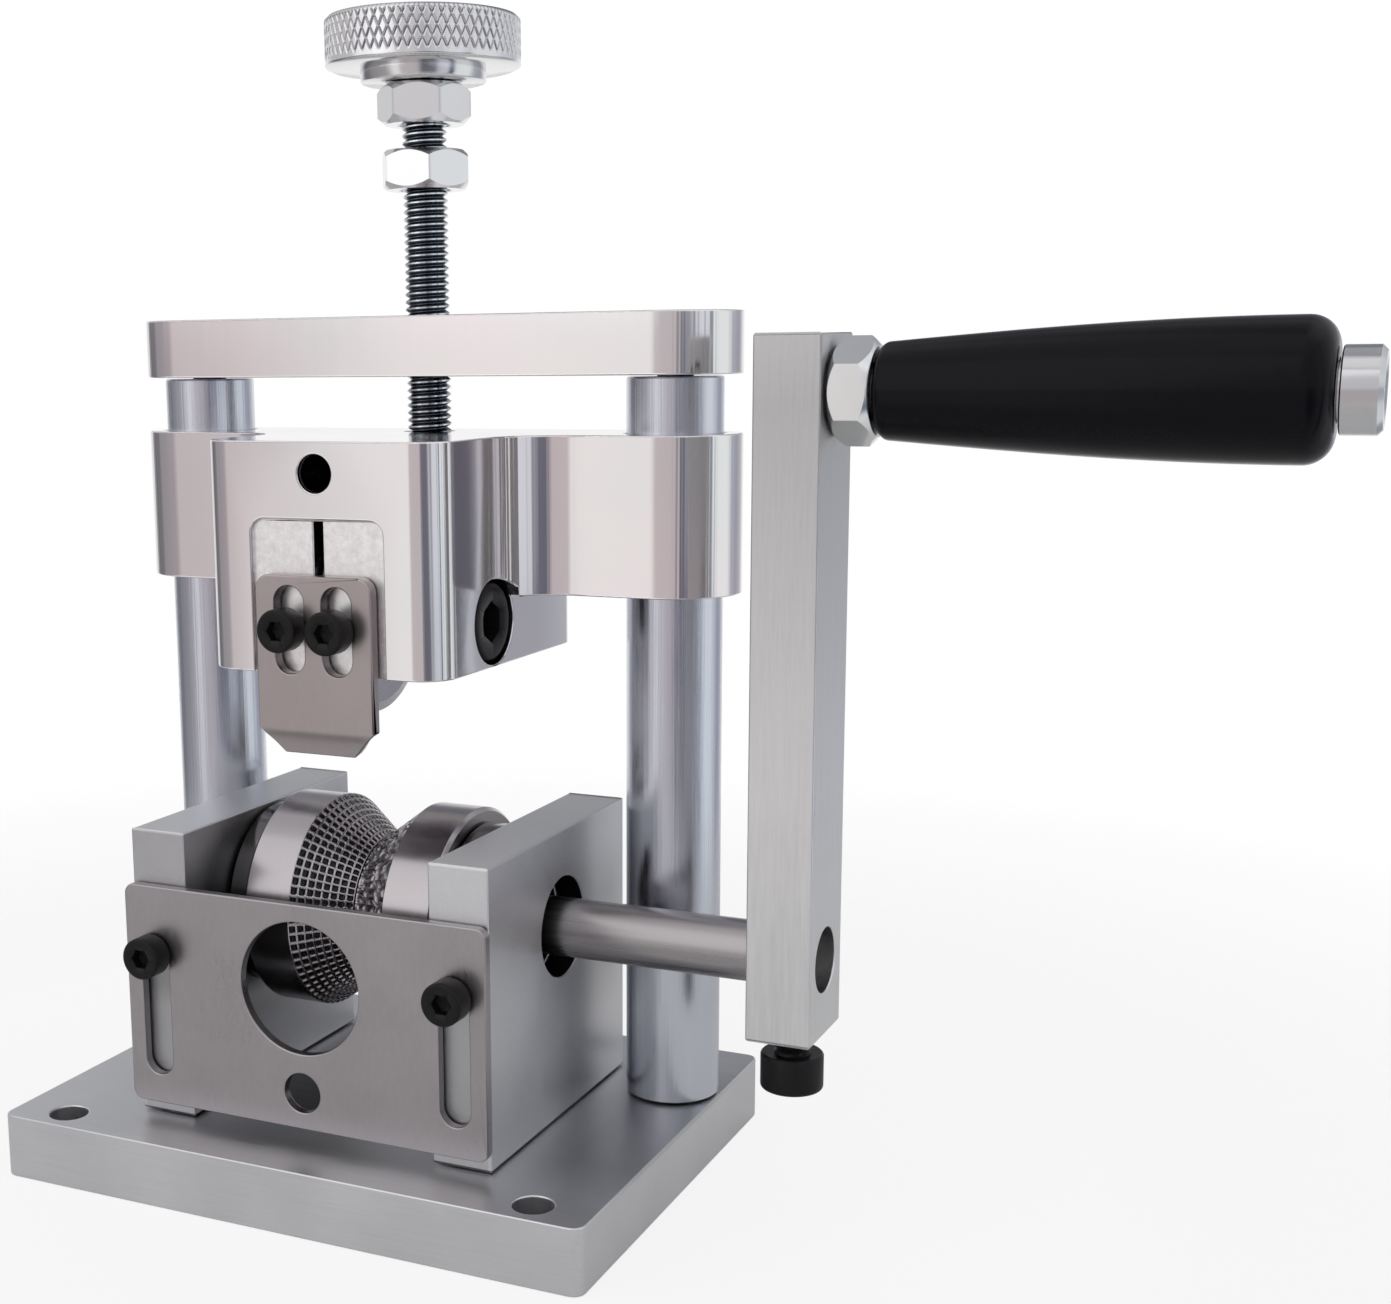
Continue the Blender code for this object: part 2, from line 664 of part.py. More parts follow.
def make_bridge():
    middle = (0, 0, BRIDGE_BOTTOM + BRIDGE_THICK / 2)
    bridge = prism("top_bridge", rounded_bar(), BRIDGE_THICK, middle, MILLED_ALUMINIUM)
    bevel(bridge, BRIDGE_EDGE)
    radius = THREAD_DIA / 2 + SEAT_GAP
    reach = BRIDGE_THICK + 2 * CUT_OVERRUN
    below = (0, POST_BACK, BRIDGE_BOTTOM - CUT_OVERRUN)
    cut(bridge, rod("lead_thread", radius, reach, below, FACE_UP))
    depth = counterbore_depth(M6)
    for side_name, side in SIDES:
        name = "bridge_screw_" + side_name
        top = Vector((side * POST_X, POST_BACK, BRIDGE_TOP))
        above = top + Vector((0, 0, CUT_OVERRUN))
        shank = rod(name + "_hole", bore_for(M6), reach, above, FACE_DOWN, ROUND_SMALL)
        wide = counterbore_for(M6)
        head = rod(name + "_sink", wide, depth + CUT_OVERRUN, above, FACE_DOWN, ROUND_SMALL)
        cut(bridge, shank, head)
        seat = top - Vector((0, 0, depth - SEAT_GAP))
        cap_screw(name, M6, POST_SCREW_GRIP, seat, FACE_UP)


def make_cheeks():
    """Two upright blocks, bored for the bearings from their inner faces."""
    for side_name, side in SIDES:
        near = side * CHEEK_INNER
        far = side * CHEEK_OUTER
        low = (min(near, far), -CHEEK_FRONT, BASE_TOP)
        high = (max(near, far), CHEEK_BACK, CHEEK_TOP)
        name = "cheek_" + side_name
        cheek = bevel(block(name, low, high, SATIN_ALUMINIUM), CHEEK_EDGE)
        turn = (0, side * pi / 2, 0)
        start = Vector((side * (CHEEK_INNER - CUT_OVERRUN), 0, SHAFT_HEIGHT))
        depth = BEARING_SET_BACK + BEARING_WIDTH + SEAT_GAP + CUT_OVERRUN
        seat_radius = BEARING_OUTER_DIA / 2 + SEAT_GAP
        seat = rod(name + "_seat", seat_radius, depth, start, turn)
        reach = CHEEK_THICK + 2 * CUT_OVERRUN
        lip = rod(name + "_lip", BEARING_OUTER_DIA / 2 - BEARING_LIP, reach, start, turn)
        cut(cheek, seat, lip)
        for end_name, y in cheek_screw_rows():
            below = Vector((side * CHEEK_MIDDLE, y, BASE_TOP - CUT_OVERRUN))
            deep = tap_depth(M5, CHEEK_SCREW_GRIP, BASE_THICK)
            tap_name = name + "_tap_" + end_name
            cut(cheek, rod(tap_name, bore_for(M5), deep, below, FACE_UP, ROUND_SMALL))
        before = Vector((side * CHEEK_MIDDLE, -CHEEK_FRONT - CUT_OVERRUN, GUARD_SCREW_HEIGHT))
        guard_tap = GUARD_SCREW_GRIP + CUT_OVERRUN
        turn_back = (-pi / 2, 0, 0)
        tap = rod(name + "_guard_tap", bore_for(M4), guard_tap, before, turn_back, ROUND_SMALL)
        cut(cheek, tap)


def make_bearing(side_name, side, crank, cages):
    """Outer race, inner race and the balls in their cage, all about the crank shaft."""
    place = Vector((side * BEARING_INNER_FACE, 0, SHAFT_HEIGHT))
    turn = (0, side * pi / 2, 0)
    outer = BEARING_OUTER_DIA / 2
    inner = BEARING_BORE / 2
    outer_track = outer - RACE_WALL
    inner_track = inner + RACE_WALL
    name = "bearing_" + side_name
    ring(name + "_outer", outer_track, outer, 0, BEARING_WIDTH, place, turn, BEARING_STEEL)
    race = ring(name + "_inner", inner, inner_track, 0, BEARING_WIDTH, place, turn, BEARING_STEEL)
    attach(crank, race)
    pitch = (inner_track + outer_track) / 2
    ball = (outer_track - inner_track) / 2 - SEAT_GAP
    low = (BEARING_WIDTH - CAGE_WIDTH) / 2
    half_wall = CAGE_WALL / 2
    cage = ring(
        name + "_balls",
        pitch - half_wall,
        pitch + half_wall,
        low,
        low + CAGE_WIDTH,
        place,
        turn,
        BEARING_STEEL,
    )
    centre = Matrix.Translation((pitch, 0, BEARING_WIDTH / 2))
    balls = bmesh.new()
    for i in range(BALL_COUNT):
        spin = Matrix.Rotation(2 * pi * i / BALL_COUNT, 4, "Z")
        bmesh.ops.create_uvsphere(
            balls,
            u_segments=BALL_SEGMENTS,
            v_segments=BALL_RINGS,
            radius=ball,
            matrix=spin @ centre,
        )
    spheres = from_bmesh(name + "_spheres", balls, None, place, turn)
    combine(cage, spheres, "UNION")
    attach(cages, cage)


# The crank and what it turns


def make_shaft(crank):
    left_end = -(CHEEK_OUTER - SHAFT_END_IN_CHEEK)
    length = ARM_OUTER_FACE - SHAFT_END_IN_ARM - left_end
    radius = SHAFT_DIA / 2
    profile = [
        (0, length),
        (radius - SHAFT_CHAMFER, length),
        (radius, length - SHAFT_CHAMFER),
        (radius, SHAFT_CHAMFER),
        (radius - SHAFT_CHAMFER, 0),
        (0, 0),
    ]
    place = (left_end, 0, SHAFT_HEIGHT)
    shaft = turned("crank_shaft", profile, place, FACE_RIGHT, SHAFT_STEEL)
    attach(crank, shaft)


def wheel_width():
    """What the collar and the gaps leave of the space beside the groove's middle."""
    return CHEEK_INNER - RUNNING_GAP - COLLAR_LENGTH - SEAT_GAP - SEAT_GAP / 2


def make_wheel(side_name, side, crank):
    """A wheel whose cone forms one half of the groove, its set screw and its collar."""
    width = wheel_width()
    groove_x = side * SEAT_GAP / 2
    outer_x = groove_x + side * width
    rim = WHEEL_DIA / 2
    shaft_bore = SHAFT_DIA / 2 + SEAT_GAP
    profile = [
        (shaft_bore, width),
        (rim - WHEEL_RIM_CHAMFER, width),
        (rim, width - WHEEL_RIM_CHAMFER),
        (rim, width - WHEEL_RIM_WIDTH),
        (GROOVE_DIA / 2, 0),
        (shaft_bore, 0),
    ]
    turn = (0, side * pi / 2, 0)
    place = (groove_x, 0, SHAFT_HEIGHT)
    name = "wheel_" + side_name
    wheel = turned(name, profile, place, turn, WHEEL_STEEL, ROUND_FINE, closed=True)
    rim_middle = outer_x - side * WHEEL_RIM_WIDTH / 2
    middle = Vector((rim_middle, 0, SHAFT_HEIGHT))
    tip = middle - Vector((0, 0, SHAFT_DIA / 2 + SEAT_GAP))
    hole_radius = SET_SCREW_DIA / 2 + SEAT_GAP
    reach = rim + CUT_OVERRUN
    hole = rod(name + "_tap", hole_radius, reach, middle, FACE_DOWN, ROUND_SMALL)
    cut(wheel, hole)
    set_name = "wheel_set_screw_" + side_name
    radius = SET_SCREW_DIA / 2
    screw = rod(set_name, radius, SET_SCREW_LENGTH, tip, FACE_DOWN, ROUND_SMALL, BLACK_OXIDE)
    mouth = tip - Vector((0, 0, SET_SCREW_LENGTH + CUT_OVERRUN))
    depth = SET_SCREW_LENGTH * SOCKET_DEPTH_SHARE + CUT_OVERRUN
    cut(screw, hexagon(set_name + "_socket", SET_SCREW_DIA / 2, depth, mouth, FACE_UP))
    start = (outer_x + side * SEAT_GAP, 0, SHAFT_HEIGHT)
    collar_name = "collar_" + side_name
    outer = COLLAR_DIA / 2
    collar = ring(collar_name, shaft_bore, outer, 0, COLLAR_LENGTH, start, turn, SHAFT_STEEL)
    attach(crank, wheel, screw, collar)


def make_arm(crank):
    bottom = SHAFT_HEIGHT - ARM_BELOW_SHAFT
    half = ARM_WIDTH / 2
    low = (ARM_INNER_FACE, -half, bottom)
    high = (ARM_OUTER_FACE, half, HANDLE_HEIGHT + ARM_ABOVE_HANDLE)
    arm = bevel(block("crank_arm", low, high, SATIN_ALUMINIUM), ARM_EDGE)
    before = ARM_INNER_FACE - CUT_OVERRUN
    reach = ARM_THICK + 2 * CUT_OVERRUN
    shaft_radius = SHAFT_DIA / 2 + ARM_SHAFT_BORE_GAP
    shaft_hole = rod("arm_shaft_bore", shaft_radius, reach, (before, 0, SHAFT_HEIGHT), FACE_RIGHT)
    spindle_radius = SPINDLE_DIA / 2 + SEAT_GAP
    spindle_place = (before, 0, HANDLE_HEIGHT)
    spindle_hole = rod("arm_spindle_bore", spindle_radius, reach, spindle_place, FACE_RIGHT)
    middle = ARM_INNER_FACE + ARM_THICK / 2
    below = (middle, 0, bottom - CUT_OVERRUN)
    clamp_depth = ARM_BELOW_SHAFT + CUT_OVERRUN
    clamp_hole = rod("arm_clamp_tap", bore_for(M6), clamp_depth, below, FACE_UP, ROUND_SMALL)
    cut(arm, shaft_hole, spindle_hole, clamp_hole)
    seat = (middle, 0, bottom - CLAMP_SCREW_SHOWN)
    grip = SHAFT_HEIGHT - SHAFT_DIA / 2 - SEAT_GAP - seat[2]
    clamp = cap_screw("clamp_screw", M6, grip, seat, FACE_DOWN)
    attach(crank, arm, clamp)


def handle_places():
    """X of the handle nut's start, the grip's start and the spindle head's seat."""
    nut = ARM_OUTER_FACE + SEAT_GAP
    grip = nut + HANDLE_NUT_HEIGHT + RUNNING_GAP
    head = grip + GRIP_LENGTH + RUNNING_GAP
    return nut, grip, head


def make_handle(crank, grip_axis):
    nut_x, grip_x, head_x = handle_places()
    nut_place = (nut_x, 0, HANDLE_HEIGHT)
    bore = SPINDLE_DIA + 2 * SEAT_GAP
    nut = hex_nut(
        "handle_nut",
        HANDLE_NUT_FLATS,
        HANDLE_NUT_HEIGHT,
        nut_place,
        FACE_RIGHT,
        HANDLE_NUT_TURN,
        bore,
    )
    start = ARM_INNER_FACE + SEAT_GAP
    grip_in = head_x - start
    head = SPINDLE_HEAD_DIA / 2
    shank = SPINDLE_DIA / 2
    tall = SPINDLE_HEAD_HEIGHT
    chamfer = SPINDLE_HEAD_CHAMFER
    profile = [
        (0, tall),
        (head - chamfer, tall),
        (head, tall - chamfer),
        (head, 0),
        (shank, 0),
        (shank, -grip_in),
        (0, -grip_in),
    ]
    place = (head_x, 0, HANDLE_HEIGHT)
    spindle = turned("handle_spindle", profile, place, FACE_RIGHT, BRIGHT_ZINC)
    mouth = (head_x + tall - SPINDLE_SOCKET_DEPTH, 0, HANDLE_HEIGHT)
    reach = SPINDLE_SOCKET_DEPTH + CUT_OVERRUN
    cut(spindle, hexagon("spindle_socket", SPINDLE_SOCKET, reach, mouth, FACE_RIGHT))
    attach(crank, nut, spindle)
    grip = turned(
        "handle_grip",
        grip_profile(),
        (grip_x, 0, HANDLE_HEIGHT),
        FACE_RIGHT,
        GLOSSY_GRIP,
        closed=True,
    )
    attach(grip_axis, grip)


def grip_profile():
    """From the rounded outer end, over the belly, down to the neck by a half cosine."""
    neck = GRIP_NECK_DIA / 2
    belly = GRIP_BELLY_DIA / 2
    bore = SPINDLE_DIA / 2 + GRIP_BORE_GAP
    end = GRIP_END_ROUNDING
    edge = GRIP_NECK_ROUNDING
    places = [(bore, GRIP_LENGTH)]
    for across, along in arc((belly - end, GRIP_LENGTH - end), end, pi / 2, 0):
        places.append((across, along))
    top = GRIP_LENGTH * GRIP_BELLY_SHARE
    for i in range(GRIP_STEPS + 1):
        share = i / GRIP_STEPS
        along = top + (edge - top) * share
        across = neck + (belly - neck) * cos(share * pi / 2)
        places.append((across, along))
    for across, along in arc((neck - edge, edge), edge, 0, -pi / 2, CORNER_STEPS - 2)[1:]:
        places.append((across, along))
    places.append((bore, 0))
    return places


# Front guard


def make_guard(guard_axis):
    """The slotted plate across the cheeks, and the two screws that it slides on."""
    half = CHEEK_OUTER + GUARD_OVERHANG
    outline = rounded_rectangle((-half, GUARD_BOTTOM), (half, GUARD_TOP), GUARD_CORNER_RADIUS)
    loops = [
        outline,
        circle((0, GUARD_HOLE_HEIGHT), GUARD_HOLE_DIA / 2),
        circle((0, GUARD_SMALL_HOLE_HEIGHT), GUARD_SMALL_HOLE_DIA / 2, ROUND_SMALL),
    ]
    bottom = GUARD_BOTTOM + GUARD_SLOT_BOTTOM_WALL
    top = GUARD_SCREW_HEIGHT + GUARD_SLOT_ABOVE_SCREW
    for _, side in SIDES:
        loops.append(slot(side * CHEEK_MIDDLE, bottom, top, GUARD_SLOT_WIDTH))
    middle = -CHEEK_FRONT - SEAT_GAP - GUARD_THICK / 2
    guard = plate("front_guard", loops, GUARD_THICK, (0, middle, 0), FACE_FRONT, SATIN_STAINLESS)
    attach(guard_axis, guard)
    face = -CHEEK_FRONT - GUARD_THICK - 2 * SEAT_GAP
    grip = GUARD_SCREW_GRIP + GUARD_THICK
    for side_name, side in SIDES:
        seat = (side * CHEEK_MIDDLE, face, GUARD_SCREW_HEIGHT)
        cap_screw("guard_screw_" + side_name, M4, grip, seat, FACE_FRONT)


# The carriage and what it carries


def carriage_outline():
    """Half of the T: nose corner, inner fillet, round wing end."""
    side = NOSE_SIDE
    corner = NOSE_CORNER_RADIUS
    fillet = NOSE_FILLET_RADIUS
    half = arc((side - corner, corner - NOSE_FRONT), corner, -pi / 2, 0)
    half += arc((side + fillet, WING_FRONT - fillet), fillet, pi, pi / 2, CORNER_STEPS + 2)
    half += arc((POST_X, POST_BACK), END_RADIUS, -pi / 2, pi / 2, 3 * CORNER_STEPS)
    return mirrored(half)


def under_wing(name, side):
    """A cutter for the space below one wing, which leaves the nose with a round rear corner."""
    rear = NOSE_REAR_RADIUS
    near = NOSE_SIDE - rear
    front = WING_FRONT - NOSE_FILLET_RADIUS
    far = POST_X + END_RADIUS + CUT_OVERRUN
    back = CARRIAGE_REAR + CUT_OVERRUN
    outline = [(NOSE_SIDE, front), (far, front), (far, back), (near, back)]
    outline += arc((near, CARRIAGE_REAR - rear), rear, pi / 2, 0, CORNER_STEPS - 2)
    outline = [(side * x, y) for x, y in outline]
    deep = NOSE_HEIGHT - WING_HEIGHT + CUT_OVERRUN
    return prism(name, outline, deep, (0, 0, WING_BOTTOM - deep / 2))


def make_carriage():
    middle = (0, 0, CARRIAGE_TOP - NOSE_HEIGHT / 2)
    outline = carriage_outline()
    carriage = prism("carriage", outline, NOSE_HEIGHT, middle, MILLED_ALUMINIUM)
    for side_name, side in SIDES:
        cut(carriage, under_wing("under_wing_" + side_name, side))
    bore_posts(carriage)
    cut_nose(carriage)
    cut_axle(carriage)
    cut_lead_seat(carriage)
    return carriage


def bore_posts(carriage):
    reach = WING_HEIGHT + 2 * CUT_OVERRUN
    for side_name, side in SIDES:
        start = (side * POST_X, POST_BACK, WING_BOTTOM - CUT_OVERRUN)
        radius = POST_DIA / 2 + RUNNING_GAP
        cut(carriage, rod("wing_bore_" + side_name, radius, reach, start, FACE_UP, ROUND_FINE))


def cut_nose(carriage):
    """The shallow pocket for the guide plate, the blade's slit and the tapped holes."""
    half = GUIDE_WIDTH / 2 + POCKET_BESIDE_GUIDE
    top = SLIT_TOP + POCKET_ABOVE_SLIT
    bottom = NOSE_BOTTOM - POCKET_RADIUS - CUT_OVERRUN
    outline = rounded_rectangle((-half, bottom), (half, top), POCKET_RADIUS)
    deep = POCKET_DEPTH + CUT_OVERRUN
    middle = (0, -NOSE_FRONT + POCKET_DEPTH - deep / 2, 0)
    pocket = plate("nose_pocket", [outline], deep, middle, FACE_FRONT)
    slit_back = BLADE_DIA / 2 - BLADE_FRONT + 2 * RUNNING_GAP
    slit = block(
        "blade_slit",
        (-SLIT_WIDTH / 2, -NOSE_FRONT - CUT_OVERRUN, NOSE_BOTTOM - CUT_OVERRUN),
        (SLIT_WIDTH / 2, slit_back, SLIT_TOP),
    )
    cut(carriage, pocket, slit)
    turn_back = (-pi / 2, 0, 0)
    for side_name, side in SIDES:
        x = side * GUIDE_SCREW_SPACING / 2
        start = (x, -NOSE_FRONT, GUIDE_SCREW_HEIGHT)
        depth = POCKET_DEPTH + GUIDE_SCREW_GRIP + SEAT_GAP
        name = "guide_tap_" + side_name
        cut(carriage, rod(name, bore_for(M4), depth, start, turn_back, ROUND_SMALL))


def cut_axle(carriage):
    """The blade axle's bore, blind at the left, and its counterbore at the right."""
    depth = AXLE_HEAD_HEIGHT + AXLE_HEAD_SUNK + SEAT_GAP
    left = -NOSE_SIDE + AXLE_END_WALL
    radius = AXLE_DIA / 2 + SEAT_GAP
    length = 2 * NOSE_SIDE - AXLE_END_WALL - depth / 2
    bore = rod("axle_bore", radius, length, (left, -BLADE_FRONT, BLADE_HEIGHT), FACE_RIGHT)
    start = (NOSE_SIDE - depth, -BLADE_FRONT, BLADE_HEIGHT)
    wide = AXLE_COUNTERBORE_DIA / 2
    head = rod("axle_counterbore", wide, depth + CUT_OVERRUN, start, FACE_RIGHT)
    cut(carriage, bore, head)


def cut_lead_seat(carriage):
    """The blind bore for the lead screw's foot, and the hole for the screw that holds it."""
    above = (0, POST_BACK, CARRIAGE_TOP + CUT_OVERRUN)
    radius = THREAD_DIA / 2 + RUNNING_GAP
    depth = CARRIAGE_TOP - LEAD_BORE_BOTTOM + CUT_OVERRUN
    seat = rod("lead_bore", radius, depth, above, FACE_DOWN)
    before = (0, -NOSE_FRONT - CUT_OVERRUN, LEAD_PIN_HEIGHT)
    reach = NOSE_FRONT + CUT_OVERRUN + POST_BACK
    turn_back = (-pi / 2, 0, 0)
    hole = rod("lead_pin_hole", LEAD_PIN_HOLE_DIA / 2, reach, before, turn_back, ROUND)
    cut(carriage, seat, hole)


def make_blade(carriage_axis, blade_axis):
    half = BLADE_THICK / 2
    edge = BLADE_DIA / 2
    bore = AXLE_DIA / 2 + RUNNING_GAP
    profile = [
        (bore, half),
        (edge - BLADE_BEVEL, half),
        (edge, half / 4),
        (edge, -half / 4),
        (edge - BLADE_BEVEL, -half),
        (bore, -half),
    ]
    place = (0, -BLADE_FRONT, BLADE_HEIGHT)
    blade = turned(
        "round_blade", profile, place, FACE_RIGHT, BLADE_STEEL, ROUND_FINE, closed=True
    )
    attach(blade_axis, blade)
    head_face = NOSE_SIDE - AXLE_HEAD_SUNK
    seat_x = head_face - AXLE_HEAD_HEIGHT
    grip = seat_x + NOSE_SIDE - AXLE_END_WALL - SEAT_GAP
    sizes = (AXLE_DIA, AXLE_HEAD_DIA, AXLE_HEAD_HEIGHT, AXLE_SOCKET)
    axle = cap_screw(
        "blade_axle", sizes, grip, (seat_x, -BLADE_FRONT, BLADE_HEIGHT), FACE_RIGHT
    )
    attach(carriage_axis, axle)


def guide_outline():
    """Rounded at the top, with two corners cut off towards the lip."""
    half = GUIDE_WIDTH / 2
    lip = GUIDE_LIP_WIDTH / 2
    radius = GUIDE_TOP_RADIUS
    right = [(lip, GUIDE_BOTTOM), (half, GUIDE_BOTTOM + GUIDE_CHAMFER_RISE)]
    right += arc((half - radius, GUIDE_TOP - radius), radius, 0, pi / 2)
    return right + [(-x, z) for x, z in reversed(right)]


def make_guide_plate(carriage_axis, guide_axis):
    loops = [guide_outline()]
    top = GUIDE_SLOT_BOTTOM + GUIDE_SLOT_LENGTH
    for _, side in SIDES:
        x = side * GUIDE_SCREW_SPACING / 2
        loops.append(slot(x, GUIDE_SLOT_BOTTOM, top, GUIDE_SLOT_WIDTH))
    middle = (GUIDE_BACK + GUIDE_FRONT) / 2
    guide = plate(
        "guide_plate", loops, GUIDE_THICK, (0, middle, 0), FACE_FRONT, SATIN_STAINLESS
    )
    bend_lip(guide.data)
    attach(guide_axis, guide)
    seat_y = GUIDE_FRONT - SEAT_GAP
    grip = GUIDE_SCREW_GRIP + GUIDE_THICK
    for side_name, side in SIDES:
        seat = (side * GUIDE_SCREW_SPACING / 2, seat_y, GUIDE_SCREW_HEIGHT)
        screw = cap_screw("guide_screw_" + side_name, M4, grip, seat, FACE_FRONT)
        attach(carriage_axis, screw)


def bend_lip(mesh):
    """Turns what lies below the bend line backwards about that line."""
    bm = bmesh.new()
    bm.from_mesh(mesh)
    line = Vector((0, GUIDE_BEND_HEIGHT, 0))
    everything = bm.verts[:] + bm.edges[:] + bm.faces[:]
    bmesh.ops.bisect_plane(bm, geom=everything, plane_co=line, plane_no=(0, 1, 0))
    lip = [v for v in bm.verts if v.co.y < GUIDE_BEND_HEIGHT - WELD_DISTANCE]
    turn = Matrix.Rotation(GUIDE_BEND_ANGLE, 3, "X")
    bmesh.ops.rotate(bm, cent=line, matrix=turn, verts=lip)
    bm.to_mesh(mesh)
    bm.free()


def make_lead_screw(carriage_axis, screw_axis, nut_axis):
    """The screw with its necked foot, the pin screw that holds it, two nuts and the knob."""
    thread = THREAD_DIA / 2 * THREAD_ROOT_SHARE
    neck = LEAD_NECK_DIA / 2
    foot = LEAD_BORE_BOTTOM + SEAT_GAP
    hub_bottom = JAM_NUT_BOTTOM + NUT_HEIGHT + SEAT_GAP
    top = hub_bottom + KNOB_BORE_DEPTH - SEAT_GAP
    neck_low = LEAD_PIN_HEIGHT - LEAD_NECK_HEIGHT / 2 - foot
    neck_high = neck_low + LEAD_NECK_HEIGHT
    length = top - foot
    chamfer = THREAD_DIA / 2 - thread + SHAFT_CHAMFER
    profile = [
        (0, length),
        (thread - chamfer, length),
        (thread, length - chamfer),
        (thread, neck_high),
        (neck, neck_high),
        (neck, neck_low),
        (thread, neck_low),
        (thread, chamfer),
        (thread - chamfer, 0),
        (0, 0),
    ]
    screw = turned(
        "lead_screw", profile, (0, POST_BACK, foot), FACE_UP, THREAD_STEEL, ROUND_SMALL + 4
    )
    bore = THREAD_DIA + 2 * SEAT_GAP
    jam_place = LEAD_AXIS + Vector((0, 0, JAM_NUT_BOTTOM))
    jam = hex_nut("jam_nut", NUT_FLATS, NUT_HEIGHT, jam_place, FACE_UP, JAM_NUT_TURN, bore)
    stop_place = LEAD_AXIS + Vector((0, 0, STOP_NUT_BOTTOM))
    stop = hex_nut("stop_nut", NUT_FLATS, NUT_HEIGHT, stop_place, FACE_UP, STOP_NUT_TURN, bore)
    knob = make_knob(hub_bottom)
    attach(screw_axis, screw, jam, knob)
    attach(nut_axis, stop)
    attach(carriage_axis, make_lead_pin())


def make_lead_pin():
    """A set screw whose point stands in the lead screw's neck."""
    tip_y = POST_BACK - LEAD_NECK_DIA / 2 - RUNNING_GAP
    radius = LEAD_PIN_HOLE_DIA / 2 - SEAT_GAP
    tip = Vector((0, tip_y, LEAD_PIN_HEIGHT))
    pin = rod("lead_pin", radius, LEAD_PIN_LENGTH, tip, FACE_FRONT, ROUND_SMALL, BLACK_OXIDE)
    depth = LEAD_PIN_LENGTH * SOCKET_DEPTH_SHARE
    mouth = tip - Vector((0, LEAD_PIN_LENGTH - depth, 0))
    socket = hexagon("lead_pin_socket", radius, depth + CUT_OVERRUN, mouth, FACE_FRONT)
    return cut(pin, socket)


def make_knob(bottom):
    """The knurled head over a short hub, with a blind bore for the screw."""
    head = KNOB_DIA / 2
    hub = KNOB_HUB_DIA / 2
    bore = THREAD_DIA / 2 + SEAT_GAP
    top = KNOB_HUB_HEIGHT + KNOB_HEAD_HEIGHT
    profile = [
        (0, top),
        (head - KNOB_TOP_CHAMFER, top),
        (head, top - KNOB_TOP_CHAMFER),
        (head, KNOB_HUB_HEIGHT + KNOB_BOTTOM_CHAMFER_RISE),
        (head - KNOB_BOTTOM_CHAMFER, KNOB_HUB_HEIGHT),
        (hub, KNOB_HUB_HEIGHT),
        (hub, 0),
        (bore, 0),
        (bore, KNOB_BORE_DEPTH),
        (0, KNOB_BORE_DEPTH),
    ]
    place = (0, POST_BACK, bottom)
    return turned("knurled_knob", profile, place, FACE_UP, SATIN_ALUMINIUM, ROUND_FINE)


def build():
    shaft_place = (0, 0, SHAFT_HEIGHT)
    crank = axis_empty("crank_axis", shaft_place)
    cages = axis_empty("ball_cage_axis", shaft_place)
    handle_place = (handle_places()[1], 0, HANDLE_HEIGHT)
    grip_axis = axis_empty("grip_axis", handle_place, crank)
    guard_axis = axis_empty("guard_axis", (0, -CHEEK_FRONT, GUARD_SCREW_HEIGHT))
    carriage_axis = axis_empty("carriage_axis", (0, POST_BACK, CARRIAGE_TOP))
    blade_axis = axis_empty("blade_axis", (0, -BLADE_FRONT, BLADE_HEIGHT), carriage_axis)
    guide_axis = axis_empty("guide_axis", (0, -NOSE_FRONT, GUIDE_SCREW_HEIGHT), carriage_axis)
    screw_axis = axis_empty("lead_screw_axis", (0, POST_BACK, CARRIAGE_TOP), carriage_axis)
    nut_axis = axis_empty("stop_nut_axis", (0, POST_BACK, STOP_NUT_BOTTOM), screw_axis)
    make_base()
    make_posts()
    make_bridge()
    make_cheeks()
    make_shaft(crank)
    for side_name, side in SIDES:
        make_bearing(side_name, side, crank, cages)
        make_wheel(side_name, side, crank)
    make_arm(crank)
    make_handle(crank, grip_axis)
    make_guard(guard_axis)
    attach(carriage_axis, make_carriage())
    make_blade(carriage_axis, blade_axis)
    make_guide_plate(carriage_axis, guide_axis)
    make_lead_screw(carriage_axis, screw_axis, nut_axis)


build()
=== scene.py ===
"""Hand crank wire stripper: the visible pieces, their finishes and the studio around them.

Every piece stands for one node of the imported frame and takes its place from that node's box, so
it follows the frame when a size changes. X runs along the crank shaft towards the crank, Y to the
back and Z up. Lengths are in metres.
"""

import json
from collections import namedtuple
from math import cos, pi, radians, sin, tan

import bmesh
import bpy
import numpy as np
from bpy.props import FloatProperty, FloatVectorProperty, IntProperty, PointerProperty
from bpy.types import Operator, Panel, PropertyGroup
from mathutils import Matrix, Vector

